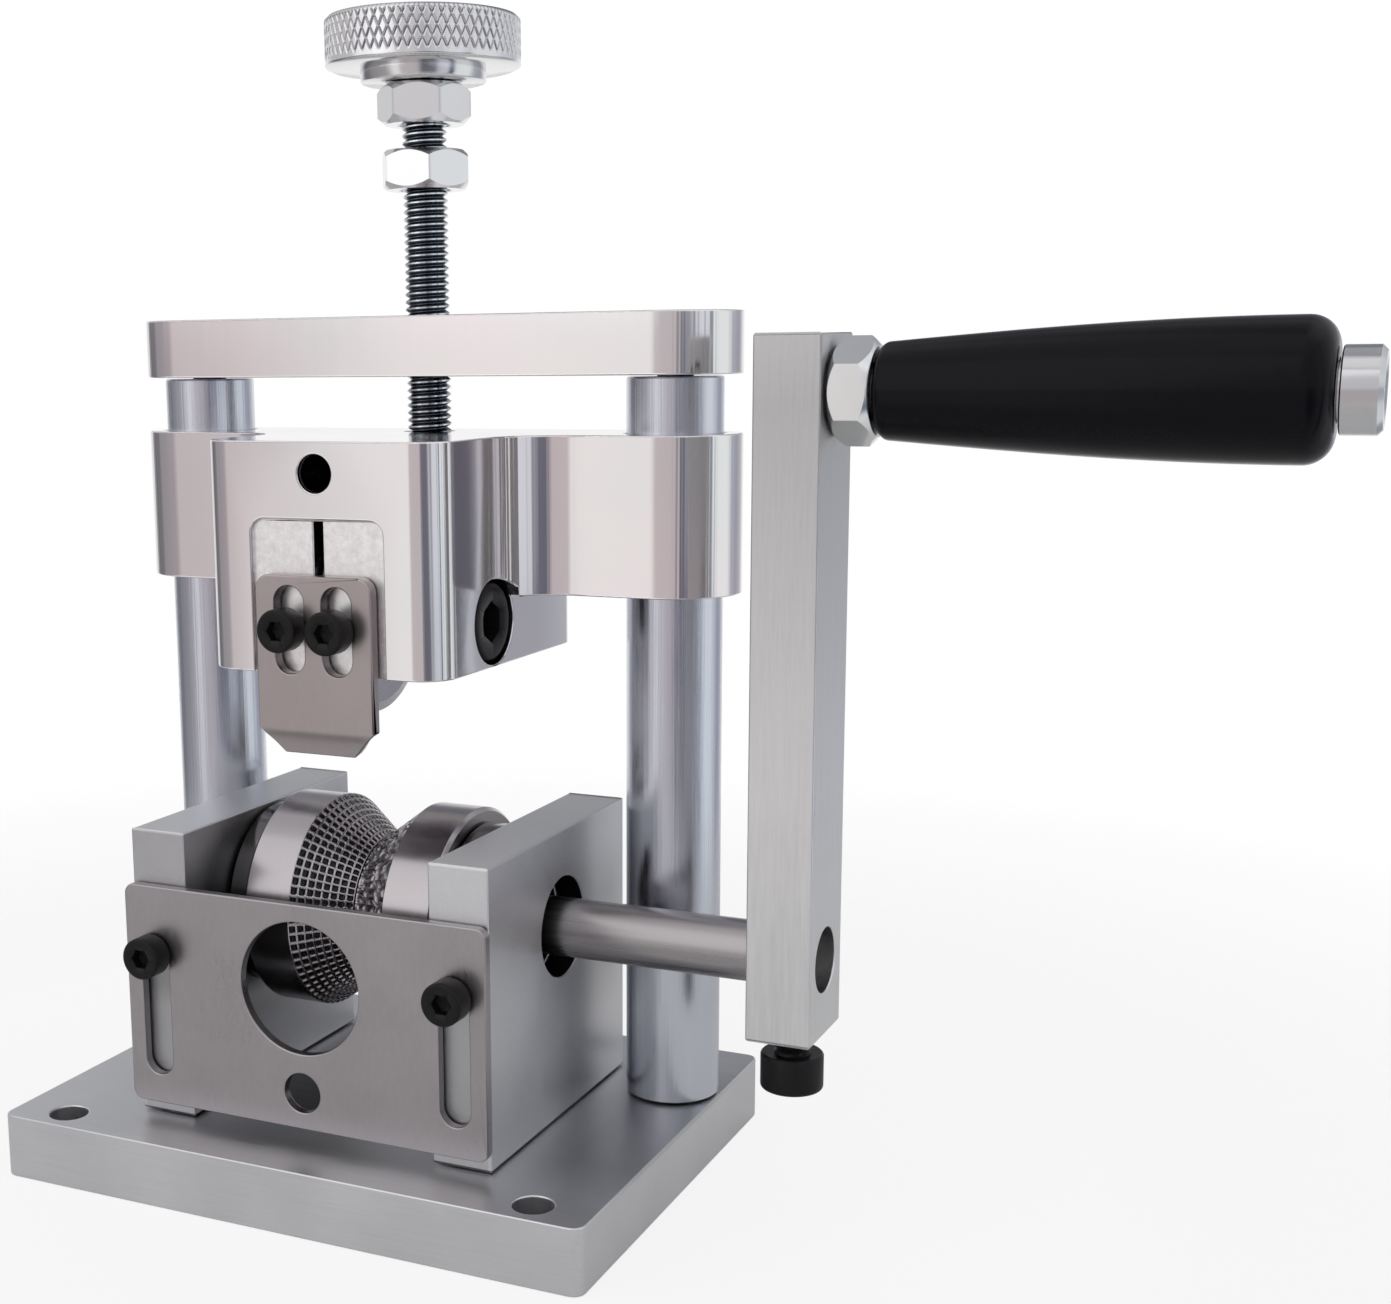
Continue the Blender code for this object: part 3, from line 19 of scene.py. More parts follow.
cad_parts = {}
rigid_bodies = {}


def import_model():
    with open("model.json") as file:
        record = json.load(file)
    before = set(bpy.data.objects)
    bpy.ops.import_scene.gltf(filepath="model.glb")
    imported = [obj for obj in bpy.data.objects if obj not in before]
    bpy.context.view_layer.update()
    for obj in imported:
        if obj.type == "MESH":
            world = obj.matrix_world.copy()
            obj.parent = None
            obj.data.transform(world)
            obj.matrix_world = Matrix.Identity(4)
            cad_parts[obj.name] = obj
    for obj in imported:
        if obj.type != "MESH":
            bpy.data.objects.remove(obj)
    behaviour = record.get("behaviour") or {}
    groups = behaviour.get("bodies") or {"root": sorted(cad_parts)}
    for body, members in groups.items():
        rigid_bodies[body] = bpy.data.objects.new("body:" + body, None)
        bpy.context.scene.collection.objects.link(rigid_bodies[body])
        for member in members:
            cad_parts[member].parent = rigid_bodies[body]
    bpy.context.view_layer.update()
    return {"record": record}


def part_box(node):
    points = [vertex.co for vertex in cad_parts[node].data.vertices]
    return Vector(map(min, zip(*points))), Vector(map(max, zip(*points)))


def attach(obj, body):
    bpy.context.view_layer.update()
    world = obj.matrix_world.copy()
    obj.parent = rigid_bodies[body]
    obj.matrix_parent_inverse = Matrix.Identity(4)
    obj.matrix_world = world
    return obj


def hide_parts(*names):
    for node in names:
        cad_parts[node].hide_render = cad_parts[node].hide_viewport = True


bl_info = {
    "name": "Hand crank wire stripper",
    "version": (1, 0, 0),
    "blender": (4, 5, 0),
    "location": "3D View > Sidebar > Stripper",
    "description": "Machined pieces, metal finishes and studio of a hand crank wire stripper",
    "category": "Add Mesh",
}

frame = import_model()
BODY_OF = {
    node: body
    for body, nodes in frame["record"]["behaviour"]["bodies"].items()
    for node in nodes
}
SIDES = (("left", -1), ("right", 1))

# How far a cutter reaches past what it cuts, the clearance round a screw, the corner of a sawn
# outline, and the distance under which two points are one
OVERRUN, PLAY, HAIRLINE, WELD = 0.002, 0.0003, 0.0001, 0.000001

# Angles in degrees from which an edge is sharp, and from which it is broken
SHARP, BEVEL_FROM = 32, 38

# Points round a screw or nut, a multiple of six
SCREW_STEPS = 144

# A surface before it is a mesh: its points, its faces, and how deep in a hollow each point lies
Surface = namedtuple("Surface", "points faces hollow")

# Sizes and colours that a user would change


def length(name, description, default):
    return FloatProperty(
        name=name, description=description, default=default, unit="LENGTH", precision=5
    )


def angle(name, description, degrees):
    return FloatProperty(
        name=name, description=description, default=radians(degrees), unit="ROTATION"
    )


def share(name, description, default):
    return FloatProperty(name=name, description=description, default=default, min=0.0)


def count(name, description, default):
    return IntProperty(name=name, description=description, default=default, min=1)


def colour(name, description, default):
    return FloatVectorProperty(
        name=name, description=description, default=default, subtype="COLOR", min=0.0, max=1.0
    )


class SlabSizes(PropertyGroup):
    """Base plate, cheeks, bridge, guard and crank arm."""

    edge_break: length("Edge break", "Width of the broken edges of sawn blocks", 0.0003)
    bright_edge: length("Bright edge", "Width of the chamfers on milled pieces", 0.00028)
    sheet_edge: length("Sheet edge", "Width of the broken edges of sheet metal", 0.00028)
    base_corner: length("Base corner", "Corner radius of the base plate", 0.0020)
    mount_hole: length("Mounting hole", "Radius of the four mounting holes", 0.00325)
    mount_inset_x: length("Hole inset X", "Mounting hole from the base's end", 0.0101)
    mount_inset_y: length("Hole inset Y", "Mounting hole from the base's long edge", 0.0052)
    bearing_lip: length("Bearing lip", "How far the cheek's lip stands in front of a bearing", 0.001)
    bridge_hole: length("Bridge hole", "Radius of the lead screw's hole in the bridge", 0.0043)
    guard_corner: length("Guard corner", "Corner radius of the front guard", 0.0018)
    guard_window: length("Guard window", "Radius of the guard's wire hole", 0.01105)
    guard_window_top: length("Window below top", "Guard's top to the wire hole's centre", 0.0140)
    guard_pin_hole: length("Guard small hole", "Radius of the guard's lower hole", 0.00335)
    guard_pin_rise: length("Small hole above edge", "Guard's lower edge to the small hole", 0.0062)
    guard_slot: length("Guard slot", "Width of the guard's two slots", 0.0054)
    guard_slot_rise: length("Slot above edge", "Guard's lower edge to the slots", 0.0051)
    guard_slot_top: length("Slot above screw", "Top of a slot above its screw's centre", 0.0031)
    arm_shaft_hole: length("Arm shaft hole", "Radius of the shaft's hole in the arm", 0.0052)
    arm_spindle_hole: length("Arm spindle hole", "Radius of the spindle's hole in the arm", 0.0043)
    crank_radius: length("Crank radius", "Shaft axis to handle axis", 0.08765)


class CarriageSizes(PropertyGroup):
    """The carriage, the round blade and the wire guide on its nose."""

    wing_height: length("Wing height", "Height of the carriage beside its nose", 0.0262)
    nose_half: length("Nose half width", "Half of the width of the carriage's nose", 0.0221)
    nose_corner: length("Nose corner", "Radius of the nose's front corners", 0.0058)
    nose_fillet: length("Nose fillet", "Radius between the nose and a wing", 0.0102)
    nose_rear: length("Nose rear corner", "Radius of the nose's rear corners", 0.0030)
    end_radius: length("Wing end", "Radius of a wing's round end", 0.01115)
    post_bore: length("Post bore", "Radius of the bores that slide on the posts", 0.0084)
    pocket_half: length("Pocket half width", "Half of the width of the guide's pocket", 0.0122)
    pocket_depth: length("Pocket depth", "Depth of the guide's pocket", 0.0008)
    pocket_corner: length("Pocket corner", "Corner radius of the guide's pocket", 0.0025)
    pocket_lap: length("Pocket above slit", "Top of the pocket above the slit", 0.0003)
    slit_half: length("Slit half width", "Half of the width of the blade's slit", 0.00085)
    slit_lap: length("Slit above blade", "Top of the slit above the blade", 0.0011)
    pin_hole: length("Pin hole", "Radius of the hole for the lead screw's pin", 0.00305)
    lead_bore: length("Lead bore", "Radius of the lead screw's bore", 0.0044)
    lead_bore_depth: length("Lead bore depth", "Depth of the lead screw's bore", 0.0115)
    axle_bore: length("Axle bore", "Radius of the blade axle's bore", 0.0043)
    axle_sink: length("Axle counterbore", "Radius of the blade axle's counterbore", 0.0070)
    guide_corner: length("Guide corner", "Radius of the guide's upper corners", 0.0025)
    guide_slot: length("Guide slot", "Width of the guide's slots", 0.0054)
    guide_slot_length: length("Guide slot length", "Length of the guide's slots", 0.0142)
    guide_slot_top: length("Guide above slot", "Top of the guide above its slots", 0.0017)
    guide_lip: length("Guide lip", "Width of the guide's lip", 0.0130)
    guide_chamfer: length("Guide chamfer", "Height of the guide's cut corners", 0.0044)
    guide_bend: length("Guide bend", "Height of the guide's bent lip", 0.0037)
    guide_bend_radius: length("Bend radius", "How softly the guide's lip is bent", 0.0009)
    guide_bend_angle: angle("Bend angle", "How far the guide's lip leans back", 26)
    guide_thickness: length("Guide thickness", "Thickness of the guide", 0.0022)
    guide_below_slot: length("Guide below slot", "Slots' lower end to the flat guide's edge", 0.0134)
    pocket_overrun: length("Pocket overrun", "How far the pocket runs out below the nose", 0.0045)
    slit_behind: length("Slit behind blade", "Room in the slit behind the blade", 0.0008)
    blade_bevel: length("Blade bevel", "Width of the round blade's bevel", 0.0016)


class TurnedSizes(PropertyGroup):
    """Shaft, wheels, nuts, threads, knob and grip."""

    rim_width: length("Rim width", "Width of a wheel's smooth rim", 0.0090)
    rim_chamfer: length("Rim chamfer", "Chamfer of a wheel's outer edge", 0.0006)
    groove_radius: length("Groove radius", "Radius at the bottom of the groove", 0.0120)
    wheel_bore: length("Wheel bore", "Radius of the bore in wheels and collars", 0.0052)
    pits_round: count("Pits round", "Pits round the left wheel's cone", 68)
    pits_across: count("Pits across", "Rows of pits across the left wheel's cone", 8)
    pit_depth: length("Pit depth", "Depth of the pits in the left wheel", 0.00060)
    burr_height: length("Burr depth", "Depth of the rough knurl of the right wheel", 0.00050)
    burrs_round: count("Furrows round", "Furrows round the right wheel's cone", 34)
    burrs_across: count("Furrow climb", "Furrows that each one crosses on its way out", 3)
    knob_rim: length("Knob rim", "Width of the rim round the knob's shallow dish", 0.0035)
    collar_edge: length("Collar edge", "Chamfer of the collars", 0.0003)
    shaft_chamfer: length("Shaft chamfer", "Chamfer of the crank shaft's ends", 0.0006)
    neck_radius: length("Neck radius", "Radius of the lead screw's neck", 0.0025)
    neck_height: length("Neck height", "Height of the lead screw's neck", 0.0064)
    pitch: length("Thread pitch", "Pitch of the lead screw", 0.00125)
    thread_depth: length("Thread depth", "Depth of the lead screw's thread", 0.00074)
    small_pitch: length("Clamp pitch", "Pitch of the clamp screw's thread", 0.0010)
    nut_flats: length("Nut flats", "Width of the nuts over their flats", 0.0140)
    nut_bore: length("Nut bore", "Radius of the nuts' bore", 0.0043)
    nut_chamfer: angle("Nut chamfer", "Slope of the chamfers of the nuts", 43)
    knurl_round: count("Knob knurl", "Diamonds round the knob", 64)
    knurl_lead: length("Diamond height", "Height of one diamond of the knob's knurl", 0.0035)
    knurl_depth: length("Knurl depth", "Depth of the knob's knurl", 0.00028)
    knob_hub: length("Knob hub", "Radius of the knob's hub", 0.0106)
    knob_hub_height: length("Hub height", "Height of the knob's hub", 0.0022)
    knob_chamfer: length("Knob chamfer", "Chamfer of the knob's upper edge", 0.0006)
    grip_neck: length("Grip neck", "Radius of the grip at the nut", 0.0072)
    grip_end: length("Grip end", "Rounding of the grip's outer end", 0.0040)
    grip_belly: share("Grip belly", "Where the grip is widest, as a share of its length", 0.93)
    race_wall: length("Race wall", "Thickness of a bearing race", 0.0010)
    race_edge: length("Race edge", "Chamfer of a bearing race", 0.0002)
    cage_wall: length("Cage wall", "Thickness of the balls' cage", 0.0007)
    cage_width: length("Cage width", "Width of the balls' cage", 0.0022)
    balls: count("Balls", "Balls in each bearing", 9)


class FinishColours(PropertyGroup):
    """The base colours of the finishes."""

    satin: colour("Satin aluminium", "Sawn and brushed aluminium", (0.66, 0.66, 0.675))
    milled: colour("Milled aluminium", "Finely milled aluminium", (0.87, 0.855, 0.85))
    ground: colour("Ground steel", "Ground and chromed posts", (0.60, 0.62, 0.68))
    stainless: colour("Satin stainless", "Front guard", (0.385, 0.362, 0.372))
    warm: colour("Warm stainless", "Wire guide", (0.40, 0.355, 0.355))
    wheel: colour("Wheel steel", "Hardened wheels", (0.43, 0.405, 0.415))
    shaft: colour("Shaft steel", "Crank shaft and collars", (0.36, 0.34, 0.345))
    blade: colour("Blade steel", "Round blade", (0.45, 0.44, 0.46))
    thread: colour("Thread steel", "Lead screw", (0.66, 0.71, 0.76))
    zinc: colour("Bright zinc", "Nuts and handle spindle", (0.84, 0.845, 0.86))
    bearing: colour("Bearing steel", "Races and balls", (0.20, 0.20, 0.22))
    oxide: colour("Black oxide", "Socket screws", (0.007, 0.007, 0.008))
    grip: colour("Black grip", "Glossy handle", (0.0022, 0.0020, 0.0032))


class StudioSettings(PropertyGroup):
    """Camera, lamps and the walls that the metal mirrors."""

    lens: share("Lens", "Focal length in millimetres on a 36 mm frame", 50.73)
    yaw: angle("Camera yaw", "How far the camera stands round to the right", 26.44)
    pitch: angle("Camera pitch", "How far the camera looks down", 10.65)
    roll: angle("Camera roll", "How far the camera is tilted", -0.705)
    shift_x: FloatProperty(name="Shift X", description="Lens shift across", default=0.1405)
    shift_y: FloatProperty(name="Shift Y", description="Lens shift up", default=0.0490)
    camera: FloatVectorProperty(
        name="Camera", description="Camera's place", default=(0.16402, -0.28559, 0.13797),
        subtype="TRANSLATION", unit="LENGTH",
    )
    key: FloatProperty(name="Key lamp", description="Front left lamp", default=1.8, unit="POWER")
    top: FloatProperty(name="Top lamp", description="Lamp overhead", default=1.0, unit="POWER")
    side: FloatProperty(name="Side lamp", description="Right lamp", default=0.3, unit="POWER")
    room: share("Room light", "Strength of the light from the walls", 0.62)
    floor: colour("Floor", "Colour of the floor", (0.86, 0.86, 0.86))


GROUPS = {
    "slab_sizes": SlabSizes,
    "carriage_sizes": CarriageSizes,
    "turned_sizes": TurnedSizes,
    "finish_colours": FinishColours,
    "studio_settings": StudioSettings,
}


# Surfaces worked out with numpy


def woven(index):
    """Faces between the rows of an index grid. A row whose points are all one point makes
    triangles, and every other row makes four-sided faces."""
    near, far = index[:-1], index[1:]
    quads = np.stack((near[:, :-1], near[:, 1:], far[:, 1:], far[:, :-1]), -1).reshape(-1, 4)
    same_near = quads[:, 0] == quads[:, 1]
    same_far = quads[:, 2] == quads[:, 3]
    faces = quads[~same_near & ~same_far].tolist()
    faces += quads[same_near][:, [0, 2, 3]].tolist()
    faces += quads[same_far][:, [0, 1, 2]].tolist()
    return faces


def tidied(points, faces, hollow):
    """Leaves out points that no face uses."""
    corners = np.concatenate([np.asarray(face) for face in faces])
    used, place = np.unique(corners, return_inverse=True)
    cuts = np.cumsum([len(face) for face in faces])[:-1]
    faces = [part.tolist() for part in np.split(place, cuts)]
    return Surface(points[used], faces, np.asarray(hollow)[used])


def turned(profile, steps=96, loop=False):
    """A surface turned about the third axis through rows of (height, reach, hollow).

    Each of the three is a number, one number for every angle or a grid with several rows of
    them, and hollow can be left out. A loop joins the last row to the first. Otherwise both end
    rows shrink to a pole."""
    blank = np.zeros((1, steps))
    parts = [np.broadcast_arrays(*(*row, 0.0)[:3], blank)[:3] for row in profile]
    heights, reaches, hollow = (np.vstack(part) for part in zip(*parts))
    turn = np.arange(steps) * 2 * pi / steps
    points = np.stack((reaches * np.cos(turn), reaches * np.sin(turn), heights), -1)
    index = np.arange(heights.size).reshape(heights.shape)
    if loop:
        index = np.vstack((index, index[:1]))
    else:
        index[[0, -1]] = index[[0, -1], :1]
    index = np.hstack((index, index[:, :1]))
    return tidied(points.reshape(-1, 3), woven(index), hollow.reshape(-1))


def moved(surface, axis="z", start=(0, 0, 0), flip=False):
    """Lays a surface's third axis along X, Y or Z and moves it to its start.

    A cyclic change of the three numbers keeps faces outwards. A flip is half a turn about the
    first axis, so it does too."""
    points = surface.points * (1, -1, -1) if flip else surface.points
    points = np.roll(points, {"z": 0, "x": 1, "y": 2}[axis], axis=-1)
    return surface._replace(points=points + np.asarray(start, float))


def slab(outline, low, high):
    """An outline carried straight along the third axis from low to high, with a flat end each."""
    n = len(outline)
    rings = [np.column_stack((outline, np.full(n, height))) for height in (low, high)]
    i = np.arange(n)
    j = np.roll(i, -1)
    faces = np.column_stack((i, j, j + n, i + n)).tolist()
    faces += [i[::-1].tolist(), (i + n).tolist()]
    return Surface(np.vstack(rings), faces, np.zeros(2 * n))


def front_slab(outline, front, back):
    """A slab whose outline is given as X and Z, counter-clockwise as seen from the front."""
    return moved(slab(outline[::-1, ::-1], front, back), "y")


def together(*surfaces):
    """One surface out of several."""
    first = np.cumsum([0] + [len(s.points) for s in surfaces])
    faces = [
        [corner + start for corner in face] for s, start in zip(surfaces, first) for face in s.faces
    ]
    points = np.vstack([s.points for s in surfaces])
    return Surface(points, faces, np.concatenate([s.hollow for s in surfaces]))


def rod(radius, low, high, axis="z", start=(0, 0, 0), steps=72):
    """A plain round rod between two heights."""
    profile = [(low, 0), (low, radius), (high, radius), (high, 0)]
    return moved(turned(profile, steps), axis, start)


def arc(centre, radius, start, end, steps=10):
    """Points on a circle, with the angles in degrees."""
    turn = np.radians(np.linspace(start, end, steps + 1))
    return np.asarray(centre) + radius * np.column_stack((np.cos(turn), np.sin(turn)))


def mirrored(outline):
    """A right half followed by its mirror image, so the whole runs counter-clockwise."""
    return np.vstack((outline, outline[::-1] * (-1, 1)))


def rounded(low, high, radius, steps=8):
    """A rectangle with round corners, counter-clockwise."""
    (x0, y0), (x1, y1) = np.add(low, radius), np.subtract(high, radius)
    corners = ((x1, y0), (x1, y1), (x0, y1), (x0, y0))
    return np.vstack([
        arc(centre, radius, start, start + 90, steps)
        for centre, start in zip(corners, (-90, 0, 90, 180))
    ])


def slot(x, bottom, top, width):
    """A round-ended upright slot, counter-clockwise."""
    r = width / 2
    return np.vstack((arc((x, top - r), r, 0, 180, 20), arc((x, bottom + r), r, 180, 360, 20)))


def hexagon_reach(flats, steps, turn=0.0):
    """How far a hexagon reaches at each angle: half its width over the cosine from the middle
    of the nearest flat. One flat faces the given turn."""
    around = np.arange(steps) * 2 * pi / steps - turn + pi / 6
    return flats / 2 / np.cos(np.mod(around, pi / 3) - pi / 6)


def saw(value):
    """A wave that falls evenly from 1 at each whole number to 0 midway to the next."""
    return np.abs(2 * np.mod(value, 1) - 1)


def thread(core, crest, pitch, low, high, steps=36):
    """A right-handed thread as one strip wound round the axis.

    At angle t and share s across the strip the height is pitch * (t / one turn + s), and the
    reach goes from core to crest and back. The strip's upper edge is the next turn's lower
    edge, and the two ends are closed to a point on the axis."""
    raised = np.array([0, 0, 1, 1.0])
    shares = np.array([0, 0.10, 0.44, 0.62])
    width = len(shares)
    rows = int(round((high - low) / pitch)) * steps
    i = np.arange(rows + 1)[:, None]
    around = 2 * pi * i / steps
    height = low + pitch * (i / steps + shares) - pitch / 2
    reach = core + (crest - core) * raised
    points = np.stack((reach * np.cos(around), reach * np.sin(around), height), -1)
    index = i * width + np.arange(width)
    grid = np.hstack((index[: rows + 1 - steps], index[steps:, :1]))
    near, far = grid[:-1], grid[1:]
    quads = np.stack((near[:, :-1], far[:, :-1], far[:, 1:], near[:, 1:]), -1).reshape(-1, 4)
    lower = np.concatenate((index[: steps + 1, 0], grid[0, 1:-1][::-1]))
    upper = np.concatenate((index[rows - steps :, 0], grid[-1, 1:-1][::-1]))
    foot = (rows + 1) * width
    below = np.column_stack((np.full(len(lower), foot), np.roll(lower, -1), lower))
    above = np.column_stack((np.full(len(upper), foot + 1), upper, np.roll(upper, -1)))
    poles = [(0, 0, low - pitch / 2), (0, 0, height.max())]
    hollow = np.broadcast_to(1 - raised, (rows + 1, width)).reshape(-1)
    return tidied(
        np.vstack((points.reshape(-1, 3), poles)),
        quads.tolist() + below.tolist() + above.tolist(),
        np.concatenate((hollow, (1, 1))),
    )


def value_noise(around, across, cells_round, cells_across, seed):
    """Smooth random heights from 0 to 1: random values at the corners of a grid of cells, mixed
    by each point's place in its cell. The grid closes round the axis."""
    table = np.random.default_rng(seed).random((cells_across + 2, cells_round))
    x, y = around * cells_round, across * cells_across
    i, j = np.floor(x).astype(int), np.floor(y).astype(int)
    fx, fy = x - i, y - j
    fx, fy = fx * fx * (3 - 2 * fx), fy * fy * (3 - 2 * fy)
    left, right = i % cells_round, (i + 1) % cells_round
    lower = table[j, left] * (1 - fx) + table[j, right] * fx
    upper = table[j + 1, left] * (1 - fx) + table[j + 1, right] * fx
    return lower * (1 - fy) + upper * fy


# Meshes and pieces


class Spot:
    """Where a node stands in the frame: its lowest corner, highest corner, middle and size."""

    def __init__(self, node):
        self.low, self.high = (np.array(corner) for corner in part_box(node))
        self.middle = (self.low + self.high) / 2
        self.size = self.high - self.low

    def length(self, axis):
        return self.size["xyz".index(axis)]

    def radius(self, axis):
        """Half of its width across an axis."""
        return self.size["xyz".index(axis) - 2] / 2

    def foot(self, axis, top=False):
        """The middle of its lower end along an axis, or of its upper end."""
        along = "xyz".index(axis)
        place = self.middle.copy()
        place[along] = (self.high if top else self.low)[along]
        return place


def mesh_of(name, surface, sharp=SHARP):
    """Puts a surface's points and faces in a mesh, smooth but for its sharp edges."""
    mesh = bpy.data.meshes.new(name)
    mesh.from_pydata(surface.points.tolist(), [], surface.faces)
    if surface.hollow.any():
        depth = mesh.attributes.new("hollow", "FLOAT", "POINT")
        depth.data.foreach_set("value", surface.hollow.astype(np.float32))
    mesh.shade_smooth()
    mesh.set_sharp_from_angle(angle=radians(sharp))
    return mesh


def add_piece(node, surface, finish_name, sharp=SHARP, edge=0.0, cutters=(), bend=None):
    """Makes the visible piece that stands for one node of the frame.

    Cutters are surfaces that are taken out of it, and edge is the width of its broken edges."""
    name = "fine_" + node
    piece = bpy.data.objects.new(name, mesh_of(name, surface, sharp))
    bpy.context.scene.collection.objects.link(piece)
    if cutters:
        carve(piece, cutters)
    if bend:
        bend(piece.data)
    if cutters or bend:
        piece.data.shade_smooth()
        piece.data.set_sharp_from_angle(angle=radians(sharp))
    if edge:
        bevel = piece.modifiers.new("broken edges", "BEVEL")
        bevel.width = edge
        bevel.segments = 2
        bevel.limit_method = "ANGLE"
        bevel.angle_limit = radians(BEVEL_FROM)
        bevel.harden_normals = True
        bevel.use_clamp_overlap = False
    material = finish(finish_name)
    piece.data.materials.clear()
    piece.data.materials.append(material)
    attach(piece, BODY_OF[node])
    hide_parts(node)


def add_turned(
    node, axis, profile, finish_name, steps=128, loop=False, sharp=SHARP, down=False
):
    """Makes a turned piece. Its profile starts at the lower end of its node's box, or at the
    upper end and runs down."""
    surface = moved(turned(profile, steps, loop), axis, Spot(node).foot(axis, down), down)
    add_piece(node, surface, finish_name, sharp)


def carve(piece, cutters):
    """Takes the cutters out of a piece and keeps only the carved mesh."""
    group = bpy.data.collections.new("cutters")
    bpy.context.scene.collection.children.link(group)
    for surface in cutters:
        group.objects.link(bpy.data.objects.new("cutter", mesh_of("cutter", surface)))
    boolean = piece.modifiers.new("carve", "BOOLEAN")
    boolean.operation = "DIFFERENCE"
    boolean.solver = "EXACT"
    boolean.operand_type = "COLLECTION"
    boolean.collection = group
    bpy.context.view_layer.update()
    graph = bpy.context.evaluated_depsgraph_get()
    carved = bpy.data.meshes.new_from_object(piece.evaluated_get(graph))
    piece.modifiers.clear()
    whole = piece.data
    piece.data = carved
    bpy.data.meshes.remove(whole)
    for cutter in list(group.objects):
        bpy.data.meshes.remove(cutter.data)
    bpy.data.collections.remove(group)
    if not carved.polygons:
        raise RuntimeError(f"nothing is left of {piece.name} after carving")
    bm = bmesh.new()
    bm.from_mesh(carved)
    bmesh.ops.remove_doubles(bm, verts=bm.verts, dist=WELD)
    bmesh.ops.dissolve_degenerate(bm, edges=bm.edges, dist=WELD)
    bm.to_mesh(carved)
    bm.free()


# Finishes


class Signal:
    """A value in a material. Arithmetic on it adds the Math nodes that work it out."""

    def __init__(self, tree, socket):
        self.tree = tree
        self.socket = socket

    def _math(self, operation, *values):
        node = self.tree.nodes.new("ShaderNodeMath")
        node.operation = operation
        for place, value in enumerate(values):
            feed(self.tree, node.inputs[place], value)
        return Signal(self.tree, node.outputs[0])

    def __add__(self, other):
        return self._math("ADD", self, other)

    def __sub__(self, other):
        return self._math("SUBTRACT", self, other)

    def __rsub__(self, other):
        return self._math("SUBTRACT", other, self)

    def __mul__(self, other):
        return self._math("MULTIPLY", self, other)

    def __truediv__(self, other):
        return self._math("DIVIDE", self, other)

    def __pow__(self, other):
        return self._math("POWER", self, other)

    __radd__ = __add__
    __rmul__ = __mul__

    def __abs__(self):
        return self._math("ABSOLUTE", self)

    def least(self, other):
        return self._math("MINIMUM", self, other)

    def most(self, other):
        return self._math("MAXIMUM", self, other)

    def clipped(self):
        return self.most(0).least(1)


def feed(tree, socket, value):
    """Gives a socket a value or a link."""
    if isinstance(value, Signal):
        tree.links.new(value.socket, socket)
    else:
        socket.default_value = value


class Shading:
    """The nodes of one material or world."""

    def __init__(self, tree):
        self.tree = tree

    def node(self, kind, settings=None, inputs=None, output=0):
        """One node: its settings first, then the values or links of its sockets."""
        made = self.tree.nodes.new(kind)
        for name, value in (settings or {}).items():
            setattr(made, name, value)
        for name, value in (inputs or {}).items():
            feed(self.tree, made.inputs[name], value)
        return Signal(self.tree, made.outputs[output]) if len(made.outputs) else None

    def place(self, stretch=(1, 1, 1), centre=(0, 0, 0)):
        """Object coordinates in metres, multiplied per axis."""
        where = self.node("ShaderNodeTexCoord", output="Object")
        inputs = {"Vector": where, "Location": centre, "Scale": [1 / s for s in stretch]}
        return self.node("ShaderNodeMapping", {"vector_type": "TEXTURE"}, inputs)

    def noise(self, stretch, detail=3.0, roughness=0.6, centre=(0, 0, 0)):
        inputs = {"Vector": self.place(stretch, centre), "Scale": 1.0}
        inputs |= {"Detail": detail, "Roughness": roughness}
        return self.node("ShaderNodeTexNoise", None, inputs)

    def axes(self, vector):
        """The three numbers of a vector."""
        parts = self.tree.nodes.new("ShaderNodeSeparateXYZ")
        feed(self.tree, parts.inputs[0], vector)
        return [Signal(self.tree, socket) for socket in parts.outputs]

    def within(self, low, high, soft):
        """1 inside a box, falling to 0 at its faces over a soft stretch along each axis."""
        mask = 1.0
        for here, start, end, stretch in zip(self.axes(self.place()), low, high, soft):
            mask = ((here - start).least(end - here) / stretch).clipped() * mask
        return mask

    def near_axis(self, centre, radius, soft):
        """1 inside a cylinder along X, falling to 0 at its side over a soft stretch."""
        _, y, z = self.axes(self.place())
        away = ((y - centre[1]) ** 2 + (z - centre[2]) ** 2) ** 0.5
        return ((radius - away) / soft).clipped()

    def blend(self, factor, first, second):
        """A mix of two colours."""
        inputs = {0: factor, 6: as_colour(first), 7: as_colour(second)}
        return self.node("ShaderNodeMix", {"data_type": "RGBA"}, inputs, 2)

    def bump(self, height, strength, distance):
        """A normal that a height bends."""
        inputs = {"Strength": strength, "Distance": distance, "Height": height}
        return self.node("ShaderNodeBump", None, inputs)

    def dress(self, shader, light, worn, normal):
        """Gives a shader its varying colour, roughness and normal."""
        feed(self.tree, shader.inputs["Base Color"], light)
        feed(self.tree, shader.inputs["Roughness"], worn.clipped())
        feed(self.tree, shader.inputs["Normal"], normal)

    def ramp(self, factor, stops):
        """A colour ramp through stops, each an angle from -180 to 180 degrees and a colour."""
        made = self.tree.nodes.new("ShaderNodeValToRGB")
        elements = made.color_ramp.elements
        while len(elements) < len(stops):
            elements.new(0.5)
        for element, (degrees, tone) in zip(elements, stops):
            element.position = (degrees + 180) / 360
            element.color = as_colour(tone)
        feed(self.tree, made.inputs[0], factor)
        return Signal(self.tree, made.outputs[0])


def as_colour(value):
    return value if isinstance(value, Signal) else (*tuple(value)[:3], 1.0)


def tinted(tone, factor):
    return [min(1.0, part * factor) for part in tone]


